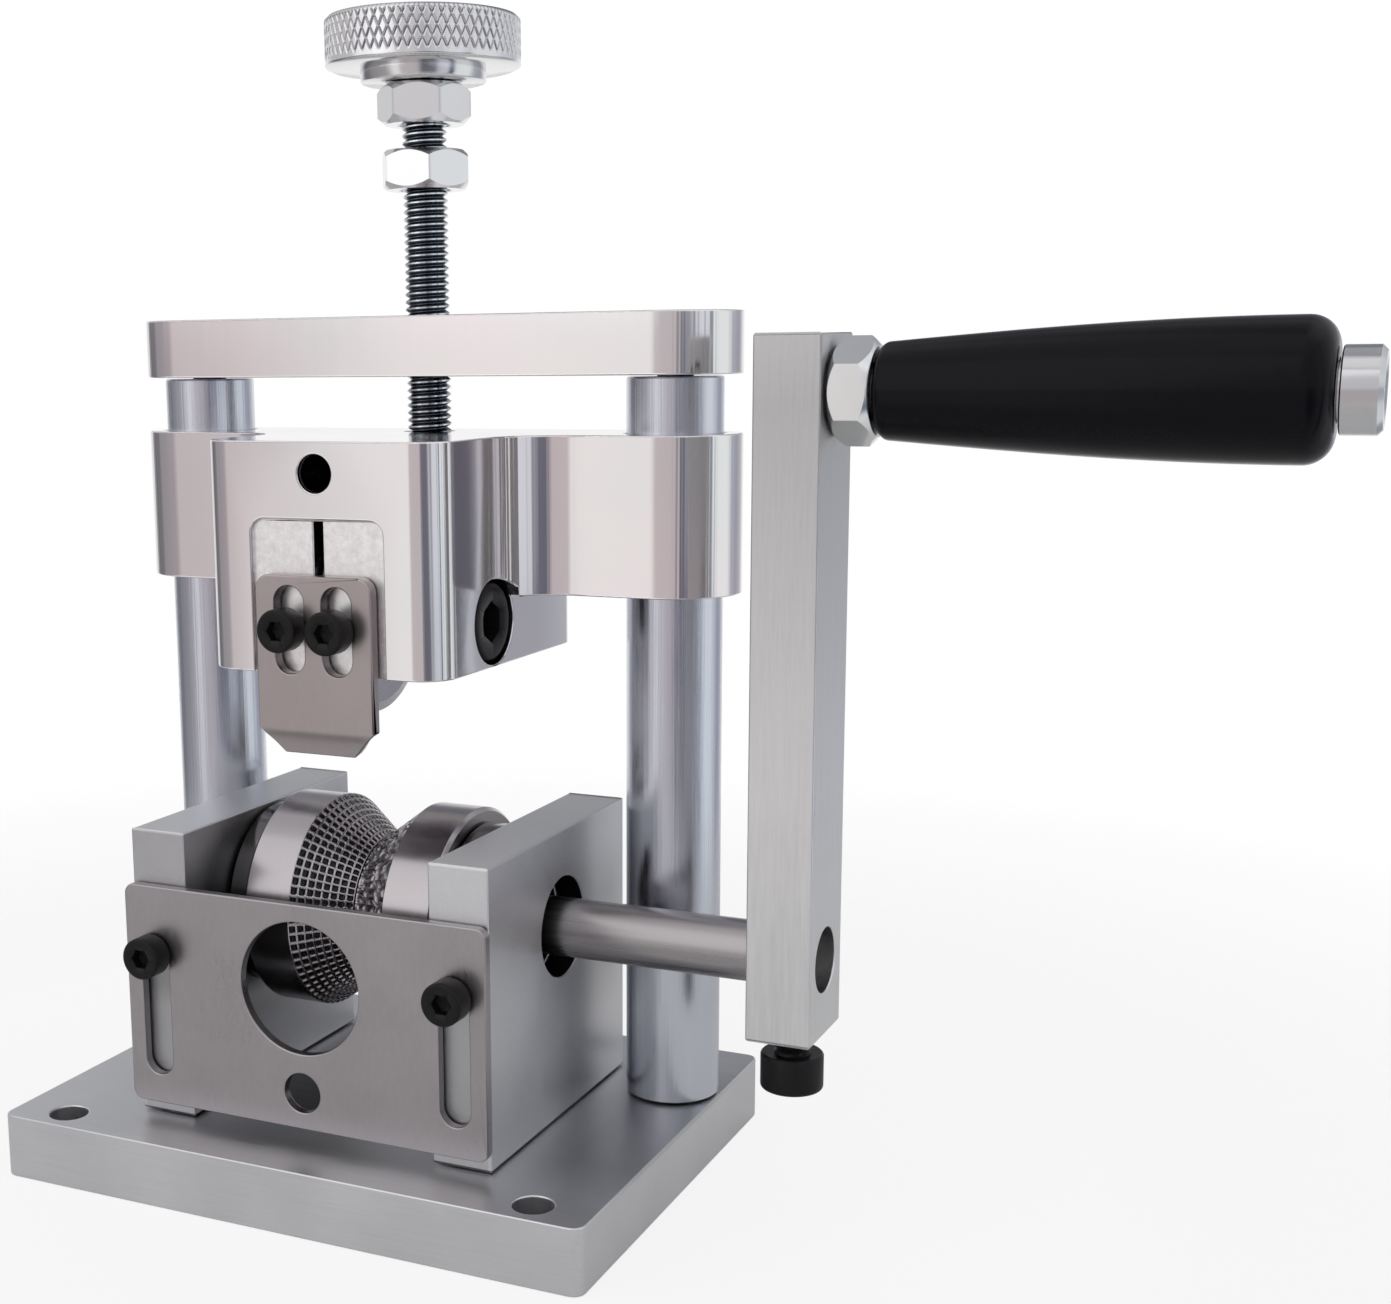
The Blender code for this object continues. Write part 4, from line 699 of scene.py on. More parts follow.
def new_material(name, slot=""):
    """A material with its slot's name on it, its nodes and its shader."""
    material = bpy.data.materials.new(name)
    material["slot"] = slot
    material.use_nodes = True
    return material, Shading(material.node_tree), material.node_tree.nodes["Principled BSDF"]


def metal_surface(shading, tone, rough, grain, grain_share, blotch):
    """Colour, roughness and grain of a metal whose grain is drawn out along one direction over
    slow blotches. grain is how often it changes along X, Y and Z, in changes per metre."""
    lines = shading.noise(grain, 4.0, 0.65)
    clouds = shading.noise((70, 70, 70), 2.0, 0.5, (0.013, 0.007, 0.003))
    change = (lines - 0.5) * grain_share + (clouds - 0.5) * blotch
    light = shading.blend((change + 0.5).clipped(), tinted(tone, 0.55), tinted(tone, 1.45))
    return light, change + rough, lines


def metal(
    slot, name, tone, rough, grain, grain_share=0.12, bump=0.3, blotch=0.08, dark=None, painted_shade=(),
    steep=1.0
):
    """A metal with painted shade at the bottom of its hollows, where the piece has any, rougher
    there too, and painted shade in the listed places: how much, and a function for the place's mask.

    Steep says how soon a hollow's painted shade turns dark on its way down."""
    material, shading, shader = new_material(name, slot)
    light, worn, lines = metal_surface(shading, tone, rough, grain, grain_share, blotch)
    if dark is not None:
        # Painted shade: the colour darkens towards the dark colour at the bottom of the hollows
        settings = {"attribute_name": "hollow"}
        depth = shading.node("ShaderNodeAttribute", settings, output="Fac")
        light = shading.blend((depth * steep).clipped(), light, dark)
        worn = worn + depth * 0.15
    # Painted shade: each listed place is darkened towards black by its mask
    for amount, mask in painted_shade:
        light = shading.blend(mask(shading) * amount, light, (0.0, 0.0, 0.0))
    shading.dress(shader, light, worn, shading.bump(lines, 1.0, 0.00003 * bump))
    shader.inputs["Metallic"].default_value = 1.0
    return material


def milled_finish(slot, name, tone):
    """Finely milled aluminium: smooth flats with a rosy cast in patches, upright bands on the
    round corners where the cutter turned, and mottling in the shallow pocket behind the wire
    guide."""
    material, shading, shader = new_material(name, slot)
    light, worn, _ = metal_surface(shading, tone, 0.12, (900, 900, 20), 0.05, 0.04)
    normal = shading.node("ShaderNodeTexCoord", output="Normal")
    across, deep, up = map(abs, shading.axes(normal))
    curved = ((1 - across.most(deep).most(up)) * 14).clipped()
    bands = shading.noise((1000, 1000, 3), 1.0, 0.4)
    clouds = shading.noise((26, 26, 26), 2.0, 0.5, (0.02, 0.01, 0.0))
    rosy = [part * share for part, share in zip(tone, (0.92, 0.865, 0.88))]
    light = shading.blend(((clouds - 0.38) * 4).clipped() * 0.8, light, rosy)
    sizes, carriage = bpy.context.scene.carriage_sizes, Spot("carriage")
    half, floor = sizes.pocket_half + 0.0002, carriage.low[1] + sizes.pocket_depth
    low = (-half, floor - PLAY, carriage.low[2])
    high = (half, floor + PLAY, carriage.high[2])
    pocket = shading.within(low, high, 3 * (PLAY / 2,))
    mottle = shading.noise((750, 750, 750), 5.0, 0.75)
    spots = ((mottle - 0.36) * 2.6).clipped()
    marked = shading.blend(spots, tinted(tone, 0.86), tinted(tone, 1.14))
    light = shading.blend(pocket, light, marked)
    worn = worn + pocket * (0.15 + mottle * 0.2)
    shading.dress(shader, light, worn, shading.bump(bands * curved, 0.8, 0.00012))
    shader.inputs["Metallic"].default_value = 1.0
    return material


def oxide_finish(slot, name, tone, rough):
    """Black oxide: nearly black, with a fine grain and slow changes of gloss."""
    material = metal(slot, name, tone, rough, (2500, 2500, 2500), 0.2, 0.5, 0.15)
    shader = material.node_tree.nodes["Principled BSDF"]
    shader.inputs["Metallic"].default_value = 0.0
    shader.inputs["Specular IOR Level"].default_value = 0.20
    return material


def grip_finish(slot, name, tone):
    """Glossy black plastic with faint ripples and a little dust in its gloss."""
    material, shading, shader = new_material(name, slot)
    ripples = shading.noise((260, 160, 160), 2.0, 0.5)
    dust = shading.noise((2200, 2200, 2200), 3.0, 0.7)
    light = shading.blend(dust, tone, tinted(tone, 2.2))
    worn = 0.17 + (ripples - 0.5) * 0.08 + dust * 0.05
    shading.dress(shader, light, worn, shading.bump(ripples, 0.25, 0.0002))
    shader.inputs["Specular IOR Level"].default_value = 0.11
    return material


def bore_mask(radius, soft=0.00002):
    """The walls of a bore round the crank shaft."""
    return lambda shading: shading.near_axis(Spot("crank_shaft").middle, radius, soft)


def box_mask(low, high, soft):
    """What lies in a box, whose sides are soft over a stretch along each axis."""
    return lambda shading: shading.within(low, high, soft)


# Painted shade on the base plate, and how much: between the cheeks, behind the guard and right
# of the cheeks
BASE_PAINTED_SHADE = (
    (0.62, box_mask((-0.026, -0.0220, 0.010), (0.026, 0.034, 0.014), (0.006, 0.006, 0.001))),
    (0.88, box_mask((-0.024, -0.0235, 0.010), (0.024, 0.002, 0.014), (0.001, 0.002, 0.001))),
    (0.30, box_mask((0.030, -0.0300, 0.010), (0.070, 0.030, 0.014), (0.012, 0.012, 0.001))),
)

# Painted shade on the cheeks: in the bearing bores, on the inner faces, behind the guard, and on
# the left cheek's front and the right one's side
CHEEK_PAINTED_SHADE = (
    (0.90, bore_mask(0.00852)),
    (0.60, box_mask((-0.02288, -0.040, 0.010), (0.02288, 0.034, 0.064), (2e-5, 0.012, 0.014))),
    (0.34, box_mask((-0.0334, -0.029, 0.004), (0.0334, -0.0276, 0.042), (0.0008, 5e-5, 0.004))),
    (0.26, box_mask((-0.0500, -0.029, 0.030), (-0.0229, -0.0276, 0.070), (1e-4, 5e-5, 0.004))),
    (0.25, box_mask((0.0330, -0.012, 0.024), (0.0400, 0.030, 0.056), (1e-4, 0.010, 0.010))),
)

# Painted shade in the crease above the guide's lip
GUIDE_PAINTED_SHADE = (
    (0.30, box_mask((-0.012, -0.030, 0.0768), (0.012, -0.010, 0.0784), (0.004, 0.001, 0.0006))),
)

# Painted shade in the shaft's hole and over the arm's upper part
ARM_PAINTED_SHADE = (
    (0.55, bore_mask(0.00522)),
    (0.34, box_mask((0.060, -0.020, 0.070), (0.080, 0.020, 0.190), (0.001, 0.001, 0.060))),
)

# Slot, name, base colour, roughness, grain along X, Y and Z, and how strongly each shows
# Wheel, thread and knurled also give the colour of the painted shade at the bottom of their hollows,
# and some finishes list places of painted shade
FINISH_MAKERS = {
    "satin_x": lambda t: metal(
        "satin_aluminium", "aluminium brushed along X", t.satin, 0.36, (60, 2600, 2600), 0.24,
        blotch=0.20, painted_shade=BASE_PAINTED_SHADE,
    ),
    "satin_y": lambda t: metal(
        "satin_aluminium", "aluminium brushed along Y", t.satin, 0.38, (2400, 700, 2400), 0.24,
        blotch=0.16, painted_shade=CHEEK_PAINTED_SHADE,
    ),
    "satin_z": lambda t: metal(
        "satin_aluminium", "aluminium brushed upright", tinted(t.satin, 1.14), 0.36,
        (2100, 2100, 90), 0.36, 0.7, 0.10, painted_shade=ARM_PAINTED_SHADE,
    ),
    "milled": lambda t: milled_finish("milled_aluminium", "milled aluminium", t.milled),
    "ground": lambda t: metal(
        "ground_steel", "ground steel", t.ground, 0.21, (2100, 2100, 8), 0.24, 1.7, 0.06
    ),
    "stainless": lambda t: metal(
        "satin_stainless", "satin stainless", t.stainless, 0.33, (1300, 1300, 420), 0.20, 0.25, 0.24
    ),
    "guide": lambda t: metal(
        "satin_stainless", "warm stainless", t.warm, 0.34, (1100, 1100, 500), 0.14, 0.2, 0.22,
        painted_shade=GUIDE_PAINTED_SHADE,
    ),
    "wheel": lambda t: metal(
        "wheel_steel", "wheel steel", t.wheel, 0.24, (1500, 120, 120), 0.06, 0.06, 0.05,
        (0.03, 0.03, 0.035),
    ),
    "shaft": lambda t: metal(
        "shaft_steel", "shaft steel", t.shaft, 0.30, (20, 1700, 1700), 0.20, 0.5, 0.06
    ),
    "collar": lambda t: metal(
        "shaft_steel", "dark collar steel", tinted(t.shaft, 0.4), 0.16, (900, 200, 200), 0.1, 0.1
    ),
    "blade": lambda t: metal(
        "blade_steel", "blade steel", t.blade, 0.26, (900, 300, 300), 0.10, 0.10, 0.10
    ),
    "thread": lambda t: metal(
        "thread_steel", "thread steel", t.thread, 0.12, (900, 900, 900), 0.06, 0.1, 0.06,
        (0.10, 0.115, 0.135), steep=2.2,
    ),
    "zinc": lambda t: metal(
        "bright_zinc", "bright zinc", t.zinc, 0.15, (500, 500, 500), 0.05, 0.05, 0.06
    ),
    # The same zinc darkened for the spindle: painted shade standing in for its head's dark
    # reflections
    "spindle": lambda t: metal(
        "bright_zinc", "dulled zinc", tinted(t.zinc, 0.68), 0.14, (60, 900, 900), 0.08, 0.05, 0.08
    ),
    "bearing": lambda t: metal(
        "bearing_steel", "bearing steel", t.bearing, 0.16, (900, 900, 900), 0.06, 0.1, 0.05
    ),
    "knurled": lambda t: metal(
        "knurled_aluminium", "knurled aluminium", tinted(t.satin, 1.06), 0.17,
        (900, 900, 900), 0.06, 0.1, 0.06, (0.40, 0.38, 0.40),
    ),
    "oxide": lambda t: oxide_finish("black_oxide", "black oxide", t.oxide, 0.38),
    "grip": lambda t: grip_finish("black_grip", "black grip", t.grip),
}
MADE_FINISHES = {}


def finish(name):
    """A finish by name, made when it is first asked for."""
    if name not in MADE_FINISHES:
        MADE_FINISHES[name] = FINISH_MAKERS[name](bpy.context.scene.finish_colours)
    return MADE_FINISHES[name]


# The frame


def sunk_hole(node, below, above):
    """Cutters for a sunk screw: a wide bore for its head and a narrow one right through."""
    _, towards, _, head_height, shank = CAP_SCREWS[node]
    screw = Spot(node)
    start = (*screw.middle[:2], 0)
    if towards < 0:
        wide = (below, screw.low[2] + head_height + PLAY)
    else:
        wide = (screw.high[2] - head_height - PLAY, above)
    return [
        rod(screw.radius("z") + PLAY, *wide, "z", start),
        rod(shank + PLAY, below, above, "z", start),
    ]


def sawn_block(place):
    """A block that fills a node's box, with hairline corners on the edges along X."""
    outline = rounded(place.low[1:], place.high[1:], HAIRLINE, 1)
    return moved(slab(outline, place.low[0], place.high[0]), "x")


def add_bar(node, axis, edge, finish_name):
    """A round bar with a chamfer at each end."""
    place = Spot(node)
    r, total = place.radius(axis), place.length(axis)
    profile = [(0, 0), (0, r - edge), (edge, r), (total - edge, r), (total, r - edge), (total, 0)]
    add_turned(node, axis, profile, finish_name)


class STRIPPER_OT_base_plate(Operator):
    """Makes the base plate with its mounting holes and the sunk screw holes below."""

    bl_idname = "stripper.base_plate"
    bl_label = "Base plate"

    def execute(self, context):
        sizes = context.scene.slab_sizes
        base = Spot("base_plate")
        outline = rounded(base.low[:2], base.high[:2], sizes.base_corner, 4)
        x = base.high[0] - sizes.mount_inset_x
        y = base.high[1] - sizes.mount_inset_y
        below, above = base.low[2] - OVERRUN, base.high[2] + OVERRUN
        cutters = [
            rod(sizes.mount_hole, below, above, "z", (side * x, end * y, 0))
            for side in (-1, 1)
            for end in (-1, 1)
        ]
        for side, _ in SIDES:
            for node in ("post_base_screw_{}", "cheek_screw_{}_front", "cheek_screw_{}_back"):
                cutters += sunk_hole(node.format(side), below, above)
        surface = slab(outline, base.low[2], base.high[2])
        add_piece("base_plate", surface, "satin_x", SHARP, sizes.edge_break, cutters)
        return {"FINISHED"}


class STRIPPER_OT_posts(Operator):
    """Makes the two ground posts, with a small chamfer at each end."""

    bl_idname = "stripper.posts"
    bl_label = "Posts"

    def execute(self, context):
        for side, _ in SIDES:
            add_bar("post_" + side, "z", context.scene.slab_sizes.bright_edge, "ground")
        return {"FINISHED"}


class STRIPPER_OT_top_bridge(Operator):
    """Makes the bridge: a bar with round ends, sunk holes over the posts and the lead screw's
    hole."""

    bl_idname = "stripper.top_bridge"
    bl_label = "Top bridge"

    def execute(self, context):
        sizes = context.scene.slab_sizes
        bridge = Spot("top_bridge")
        r, y = bridge.size[1] / 2, bridge.middle[1]
        right = arc((bridge.high[0] - r, y), r, -90, 90, 48)
        left = arc((bridge.low[0] + r, y), r, 90, 270, 48)
        below, above = bridge.low[2] - OVERRUN, bridge.high[2] + OVERRUN
        cutters = [rod(sizes.bridge_hole, below, above, "z", (0, y, 0))]
        for side, _ in SIDES:
            cutters += sunk_hole("bridge_screw_" + side, below, above)
        surface = slab(np.vstack((right, left)), bridge.low[2], bridge.high[2])
        add_piece("top_bridge", surface, "milled", SHARP, sizes.bright_edge, cutters)
        return {"FINISHED"}


class STRIPPER_OT_cheeks(Operator):
    """Makes the two cheeks with their bearing seats and through bores."""

    bl_idname = "stripper.cheeks"
    bl_label = "Cheeks"

    def execute(self, context):
        sizes = context.scene.slab_sizes
        for side, sign in SIDES:
            cheek = Spot("cheek_" + side)
            race = Spot("bearing_" + side + "_outer")
            start = (0, 0, race.middle[2])
            before, behind = cheek.low[0] - OVERRUN, cheek.high[0] + OVERRUN
            seat = (before, race.high[0]) if sign > 0 else (race.low[0], behind)
            bores = [
                rod(race.radius("x") + PLAY, *seat, "x", start, 96),
                rod(race.radius("x") - sizes.bearing_lip, before, behind, "x", start, 96),
            ]
            surface = sawn_block(cheek)
            add_piece("cheek_" + side, surface, "satin_y", SHARP, sizes.edge_break, bores)
        return {"FINISHED"}


class STRIPPER_OT_bearings(Operator):
    """Makes both ball bearings: outer race, inner race, and the balls in their cage."""

    bl_idname = "stripper.bearings"
    bl_label = "Bearings"

    def execute(self, context):
        sizes = context.scene.turned_sizes
        for side, _ in SIDES:
            add_race("bearing_" + side + "_outer", sizes)
            add_race("bearing_" + side + "_inner", sizes)
            add_cage("bearing_" + side, sizes)
        return {"FINISHED"}


def add_race(node, sizes):
    """A ring with broken edges."""
    race = Spot(node)
    outer, width, soft = race.radius("x"), race.size[0], sizes.race_edge
    inner = outer - sizes.race_wall
    profile = [
        (0, inner + soft), (0, outer - soft), (soft, outer), (width - soft, outer),
        (width, outer - soft), (width, inner + soft), (width - soft, inner), (soft, inner),
    ]
    add_turned(node, "x", profile, "bearing", 96, True)


def add_cage(bearing, sizes):
    """A thin cage ring with the balls in it, each a small turned sphere."""
    race = Spot(bearing + "_outer")
    outside = race.radius("x") - sizes.race_wall
    inside = Spot(bearing + "_inner").radius("x")
    pitch, ball = (inside + outside) / 2, (outside - inside) / 2 - PLAY
    middle = race.size[0] / 2
    low, high = middle - sizes.cage_width / 2, middle + sizes.cage_width / 2
    near, far = pitch - sizes.cage_wall / 2, pitch + sizes.cage_wall / 2
    ring = turned([(low, near), (low, far), (high, far), (high, near)], 96, True)
    rows = np.radians(np.linspace(-90, 90, 13))
    sphere = turned(zip(ball * np.sin(rows), ball * np.cos(rows)), 20)
    around = np.arange(sizes.balls) * 2 * pi / sizes.balls
    spheres = [moved(sphere, "z", (pitch * cos(a), pitch * sin(a), middle)) for a in around]
    surface = moved(together(ring, *spheres), "x", race.foot("x"))
    add_piece(bearing + "_balls", surface, "bearing")


class STRIPPER_OT_front_guard(Operator):
    """Makes the front guard: a sheet with a wire hole, a small hole and two upright slots."""

    bl_idname = "stripper.front_guard"
    bl_label = "Front guard"

    def execute(self, context):
        sizes = context.scene.slab_sizes
        guard = Spot("front_guard")
        low, high = guard.low, guard.high
        front, back = low[1] - OVERRUN, high[1] + OVERRUN
        window = (0, 0, high[2] - sizes.guard_window_top)
        pin = (0, 0, low[2] + sizes.guard_pin_rise)
        cutters = [
            rod(sizes.guard_window, front, back, "y", window, 128),
            rod(sizes.guard_pin_hole, front, back, "y", pin, 64),
        ]
        for side, _ in SIDES:
            screw = Spot("guard_screw_" + side).middle
            top = screw[2] + sizes.guard_slot_top
            shape = slot(screw[0], low[2] + sizes.guard_slot_rise, top, sizes.guard_slot)
            cutters.append(front_slab(shape, front, back))
        outline = rounded(low[[0, 2]], high[[0, 2]], sizes.guard_corner)
        surface = front_slab(outline, low[1], high[1])
        add_piece("front_guard", surface, "stainless", SHARP, sizes.sheet_edge, cutters)
        return {"FINISHED"}


# Screws


# Socket head screws as they are sold: key size, head height, thread radius
M4 = (0.003, 0.004, 0.0020)
M5 = (0.004, 0.005, 0.0025)
M6 = (0.005, 0.006, 0.0030)
M8 = (0.006, 0.008, 0.0040)

# Node: axis, which way its head points, then the screw's own sizes
CAP_SCREWS = {
    "post_base_screw_left": ("z", -1, *M6),
    "post_base_screw_right": ("z", -1, *M6),
    "cheek_screw_left_front": ("z", -1, *M5),
    "cheek_screw_left_back": ("z", -1, *M5),
    "cheek_screw_right_front": ("z", -1, *M5),
    "cheek_screw_right_back": ("z", -1, *M5),
    "bridge_screw_left": ("z", 1, *M6),
    "bridge_screw_right": ("z", 1, *M6),
    "guard_screw_left": ("y", -1, *M4),
    "guard_screw_right": ("y", -1, *M4),
    "guide_screw_left": ("y", -1, *M4),
    "guide_screw_right": ("y", -1, *M4),
    "clamp_screw": ("z", -1, *M6),
    "blade_axle": ("x", 1, *M8),
}


def cap_screw(total, head, key, head_height, shank, pitch=0.0):
    """The profile of a socket head screw from its tip at 0 to its head's face.

    The head has a smooth side and a round edge, and the hexagon socket goes half the head deep.
    With a pitch the last stretch of shank below the head is threaded."""
    tip, furrow, threaded, rim_width = 0.0004, 0.0006, 0.006, 0.00025
    soft, lead, round_edge = 0.0002, 0.0003, head * 0.14
    around = np.arange(SCREW_STEPS) / SCREW_STEPS
    seat, floor = total - head_height, total - head_height / 2
    socket = hexagon_reach(key, SCREW_STEPS)
    profile = [(0, 0), (0, shank - tip), (tip, shank)]
    if pitch:
        for height in np.arange(seat - threaded, seat - PLAY, pitch / 10):
            profile.append((height, shank - furrow * (1 - saw(height / pitch - around))))
    profile += [(seat, shank), (seat, head - 1.5 * soft), (seat + soft, head - soft / 2)]
    profile += [(seat + 2 * soft, head), (total - 1.3 * round_edge, head)]
    for turn in np.radians(np.linspace(0, 90, 6)):
        height = total - round_edge * (1 - sin(turn))
        profile.append((height, head - round_edge * (1 - cos(turn))))
    profile += [(total, key / 2 / cos(pi / 6) + rim_width), (total - lead, socket)]
    return profile + [(floor, socket), (floor - tip, 0)]


class STRIPPER_OT_cap_screws(Operator):
    """Makes every socket head screw from its node's box: its length, its head and its place."""

    bl_idname = "stripper.cap_screws"
    bl_label = "Socket head screws"

    def execute(self, context):
        for node, (axis, towards, *kind) in CAP_SCREWS.items():
            pitch = context.scene.turned_sizes.small_pitch if node == "clamp_screw" else 0.0
            place = Spot(node)
            profile = cap_screw(place.length(axis), place.radius(axis), *kind, pitch)
            add_turned(node, axis, profile, "oxide", SCREW_STEPS, False, 40, towards < 0)
        return {"FINISHED"}


class STRIPPER_OT_set_screws(Operator):
    """Makes the set screws of the wheels and the lead screw's pin, with a socket in each."""

    bl_idname = "stripper.set_screws"
    bl_label = "Set screws"

    def execute(self, context):
        tip, edge, steps = 0.0004, 0.0003, 72
        for node in ("wheel_set_screw_left", "wheel_set_screw_right", "lead_pin"):
            axis = "y" if node == "lead_pin" else "z"
            place = Spot(node)
            r, total = place.radius(axis), place.length(axis)
            key = hexagon_reach(r, steps)
            profile = [
                (0, 0), (0, r - tip), (tip, r), (total - edge, r), (total, r - edge),
                (total, key), (total / 2, key), (total / 2, 0),
            ]
            add_turned(node, axis, profile, "oxide", steps, down=True)
        return {"FINISHED"}


# The crank


class STRIPPER_OT_crank_shaft(Operator):
    """Makes the crank shaft with chamfered ends, and the collars beside the wheels."""

    bl_idname = "stripper.crank_shaft"
    bl_label = "Crank shaft and collars"

    def execute(self, context):
        sizes = context.scene.turned_sizes
        inner, soft = sizes.wheel_bore, sizes.collar_edge
        add_bar("crank_shaft", "x", sizes.shaft_chamfer, "shaft")
        for side, _ in SIDES:
            collar = Spot("collar_" + side)
            outer, width = collar.radius("x"), collar.size[0]
            profile = [
                (0, inner), (0, outer - soft), (soft, outer), (width - soft, outer),
                (width, outer - soft), (width, inner),
            ]
            add_turned("collar_" + side, "x", profile, "collar", 128, True)
        return {"FINISHED"}


def pit_depths(around, across, sizes):
    """Square pits: deep where both saw waves, round the cone and across it, are near their
    middle, with soft walls."""
    edge, wall_width = 0.76, 0.30
    nearest = np.maximum(saw(around * sizes.pits_round), saw(across * sizes.pits_across))
    wall = np.clip((edge - nearest) / wall_width, 0, 1)
    return wall * wall * (3 - 2 * wall)


def burr_depths(around, across, sizes):
    """A rough knurl: two crossing sets of furrows that random heights push about."""
    push, ridge, steep, roughening = 1.4, 0.98, 1.6, 0.40
    drift = push * (value_noise(around, across, 48, 5, seed=3) - 0.5)
    turn, climb = around * sizes.burrs_round, across * sizes.burrs_across
    furrows = np.minimum(saw(turn + climb + drift), saw(turn - climb - drift))
    grit = value_noise(around, across, 110, 12, seed=5)
    return np.clip(ridge - furrows * steep - grit * roughening, 0, 1)


class STRIPPER_OT_wheels(Operator):
    """Makes the two wheels. Each cone of the groove is a grid of angle and distance along the
    cone, pushed in along the cone's own normal by the depth of its pits or its rough knurl."""

    bl_idname = "stripper.wheels"
    bl_label = "Wheels"

    def execute(self, context):
        sizes = context.scene.turned_sizes
        steps, rows, fade = 816, 72, 40
        around = (np.arange(steps) / steps)[None, :]
        across = np.linspace(0, 1, rows)[:, None]
        edge, bore, crisp = sizes.rim_chamfer, sizes.wheel_bore, 0.00008
        for side, sign in SIDES:
            wheel = Spot("wheel_" + side)
            rim, width = wheel.radius("x"), wheel.size[0]
            cone, rise = width - sizes.rim_width, rim - sizes.groove_radius
            slant = np.hypot(cone, rise)
            if sign < 0:
                dents, depth = pit_depths(around, across, sizes), sizes.pit_depth
            else:
                dents, depth = burr_depths(around, across, sizes), sizes.burr_height
            dents = dents * np.clip(np.minimum(across, 1 - across) * fade, 0, 1)
            heights = cone * across + depth * dents * rise / slant
            reaches = sizes.groove_radius + rise * across - depth * dents * cone / slant
            profile = [
                (0, bore), (heights, reaches, dents), (cone + crisp, rim),
                (width - edge - crisp, rim), (width - edge, rim),
                (width - edge + crisp, rim - crisp), (width - crisp, rim - edge + crisp),
                (width, rim - edge), (width, rim - edge - crisp), (width, bore),
            ]
            add_turned("wheel_" + side, "x", profile, "wheel", steps, True, 50, sign < 0)
        return {"FINISHED"}


class STRIPPER_OT_crank_arm(Operator):
    """Makes the crank arm: a sawn bar with the shaft's, the spindle's and the clamp's holes."""

    bl_idname = "stripper.crank_arm"
    bl_label = "Crank arm"

    def execute(self, context):
        sizes = context.scene.slab_sizes
        arm = Spot("crank_arm")
        shaft = Spot("crank_shaft").middle[2]
        before, behind = arm.low[0] - OVERRUN, arm.high[0] + OVERRUN
        clamp = (Spot("clamp_screw").middle[0], 0, 0)
        handle = (0, 0, shaft + sizes.crank_radius)
        cutters = [
            rod(sizes.arm_shaft_hole, before, behind, "x", (0, 0, shaft), 96),
            rod(sizes.arm_spindle_hole, before, behind, "x", handle, 96),
            rod(CAP_SCREWS["clamp_screw"][4] + PLAY, arm.low[2] - OVERRUN, shaft, "z", clamp),
        ]
        add_piece("crank_arm", sawn_block(arm), "satin_z", SHARP, sizes.edge_break, cutters)
        return {"FINISHED"}


def add_nut(node, axis, turn, sizes):
    """A hexagon nut. At each angle the side starts where a cone from the face's circle meets
    the hexagon, so the chamfers come out as the real curved ones."""
    lead, face_share = 0.0005, 0.95
    height, bore = Spot(node).length(axis), sizes.nut_bore
    reach = hexagon_reach(sizes.nut_flats, SCREW_STEPS, radians(turn))
    face, mouth = sizes.nut_flats / 2 * face_share, bore + lead
    drop = (reach - face) * tan(sizes.nut_chamfer)
    profile = [
        (lead, bore), (0, mouth), (0, face), (drop, reach), (height - drop, reach),
        (height, face), (height, mouth), (height - lead, bore),
    ]
    add_turned(node, axis, profile, "zinc", SCREW_STEPS, True)


class STRIPPER_OT_handle(Operator):
    """Makes the handle: its lock nut, the glossy grip and the spindle that it turns on."""

    bl_idname = "stripper.handle"
    bl_label = "Handle"

    def execute(self, context):
        sizes = context.scene.turned_sizes
        add_nut("handle_nut", "x", 0, sizes)
        add_grip(sizes)
        add_spindle()
        return {"FINISHED"}


def add_grip(sizes):
    """The grip widens from its neck to its belly as a quarter wave, and ends in a round edge."""
    grip = Spot("handle_grip")
    total, belly = grip.size[0], grip.radius("x")
    neck, end, edge, bore = sizes.grip_neck, sizes.grip_end, 0.0014, 0.0044
    widening = total * sizes.grip_belly - edge
    along = np.linspace(0, 1, 48)[1:]
    swell = neck + (belly - neck) * np.sin(along * pi / 2)
    profile = np.vstack((
        [(0, bore)],
        arc((edge, neck - edge), edge, 180, 90, 7),
        np.column_stack((edge + widening * along, swell)),
        arc((total - end, belly - end), end, 90, 0, 11),
        [(total, bore)],
    ))
    add_turned("handle_grip", "x", profile, "grip", 128, True, 45)


def add_spindle():
    """A shoulder screw: shank, chamfered head and a hexagon socket in the head's face."""
    spindle = Spot("handle_spindle")
    total, head = spindle.size[0], spindle.radius("x")
    key, _, shank = M8
    tall, edge, tip, soft, mouth = 0.0054, 0.0007, 0.0005, 0.0002, 0.0044
    lead, deep, point = 0.0004, 0.0030, 0.0006
    seat, socket = total - tall, hexagon_reach(key, SCREW_STEPS)
    profile = [
        (0, 0), (0, shank - tip), (tip, shank), (seat, shank), (seat, head - soft),
        (seat + soft, head), (total - edge, head), (total, head - edge), (total, mouth),
        (total - lead, socket), (total - deep, socket), (total - deep - point, 0),
    ]
    add_turned("handle_spindle", "x", profile, "spindle", SCREW_STEPS)


# The carriage and what it carries


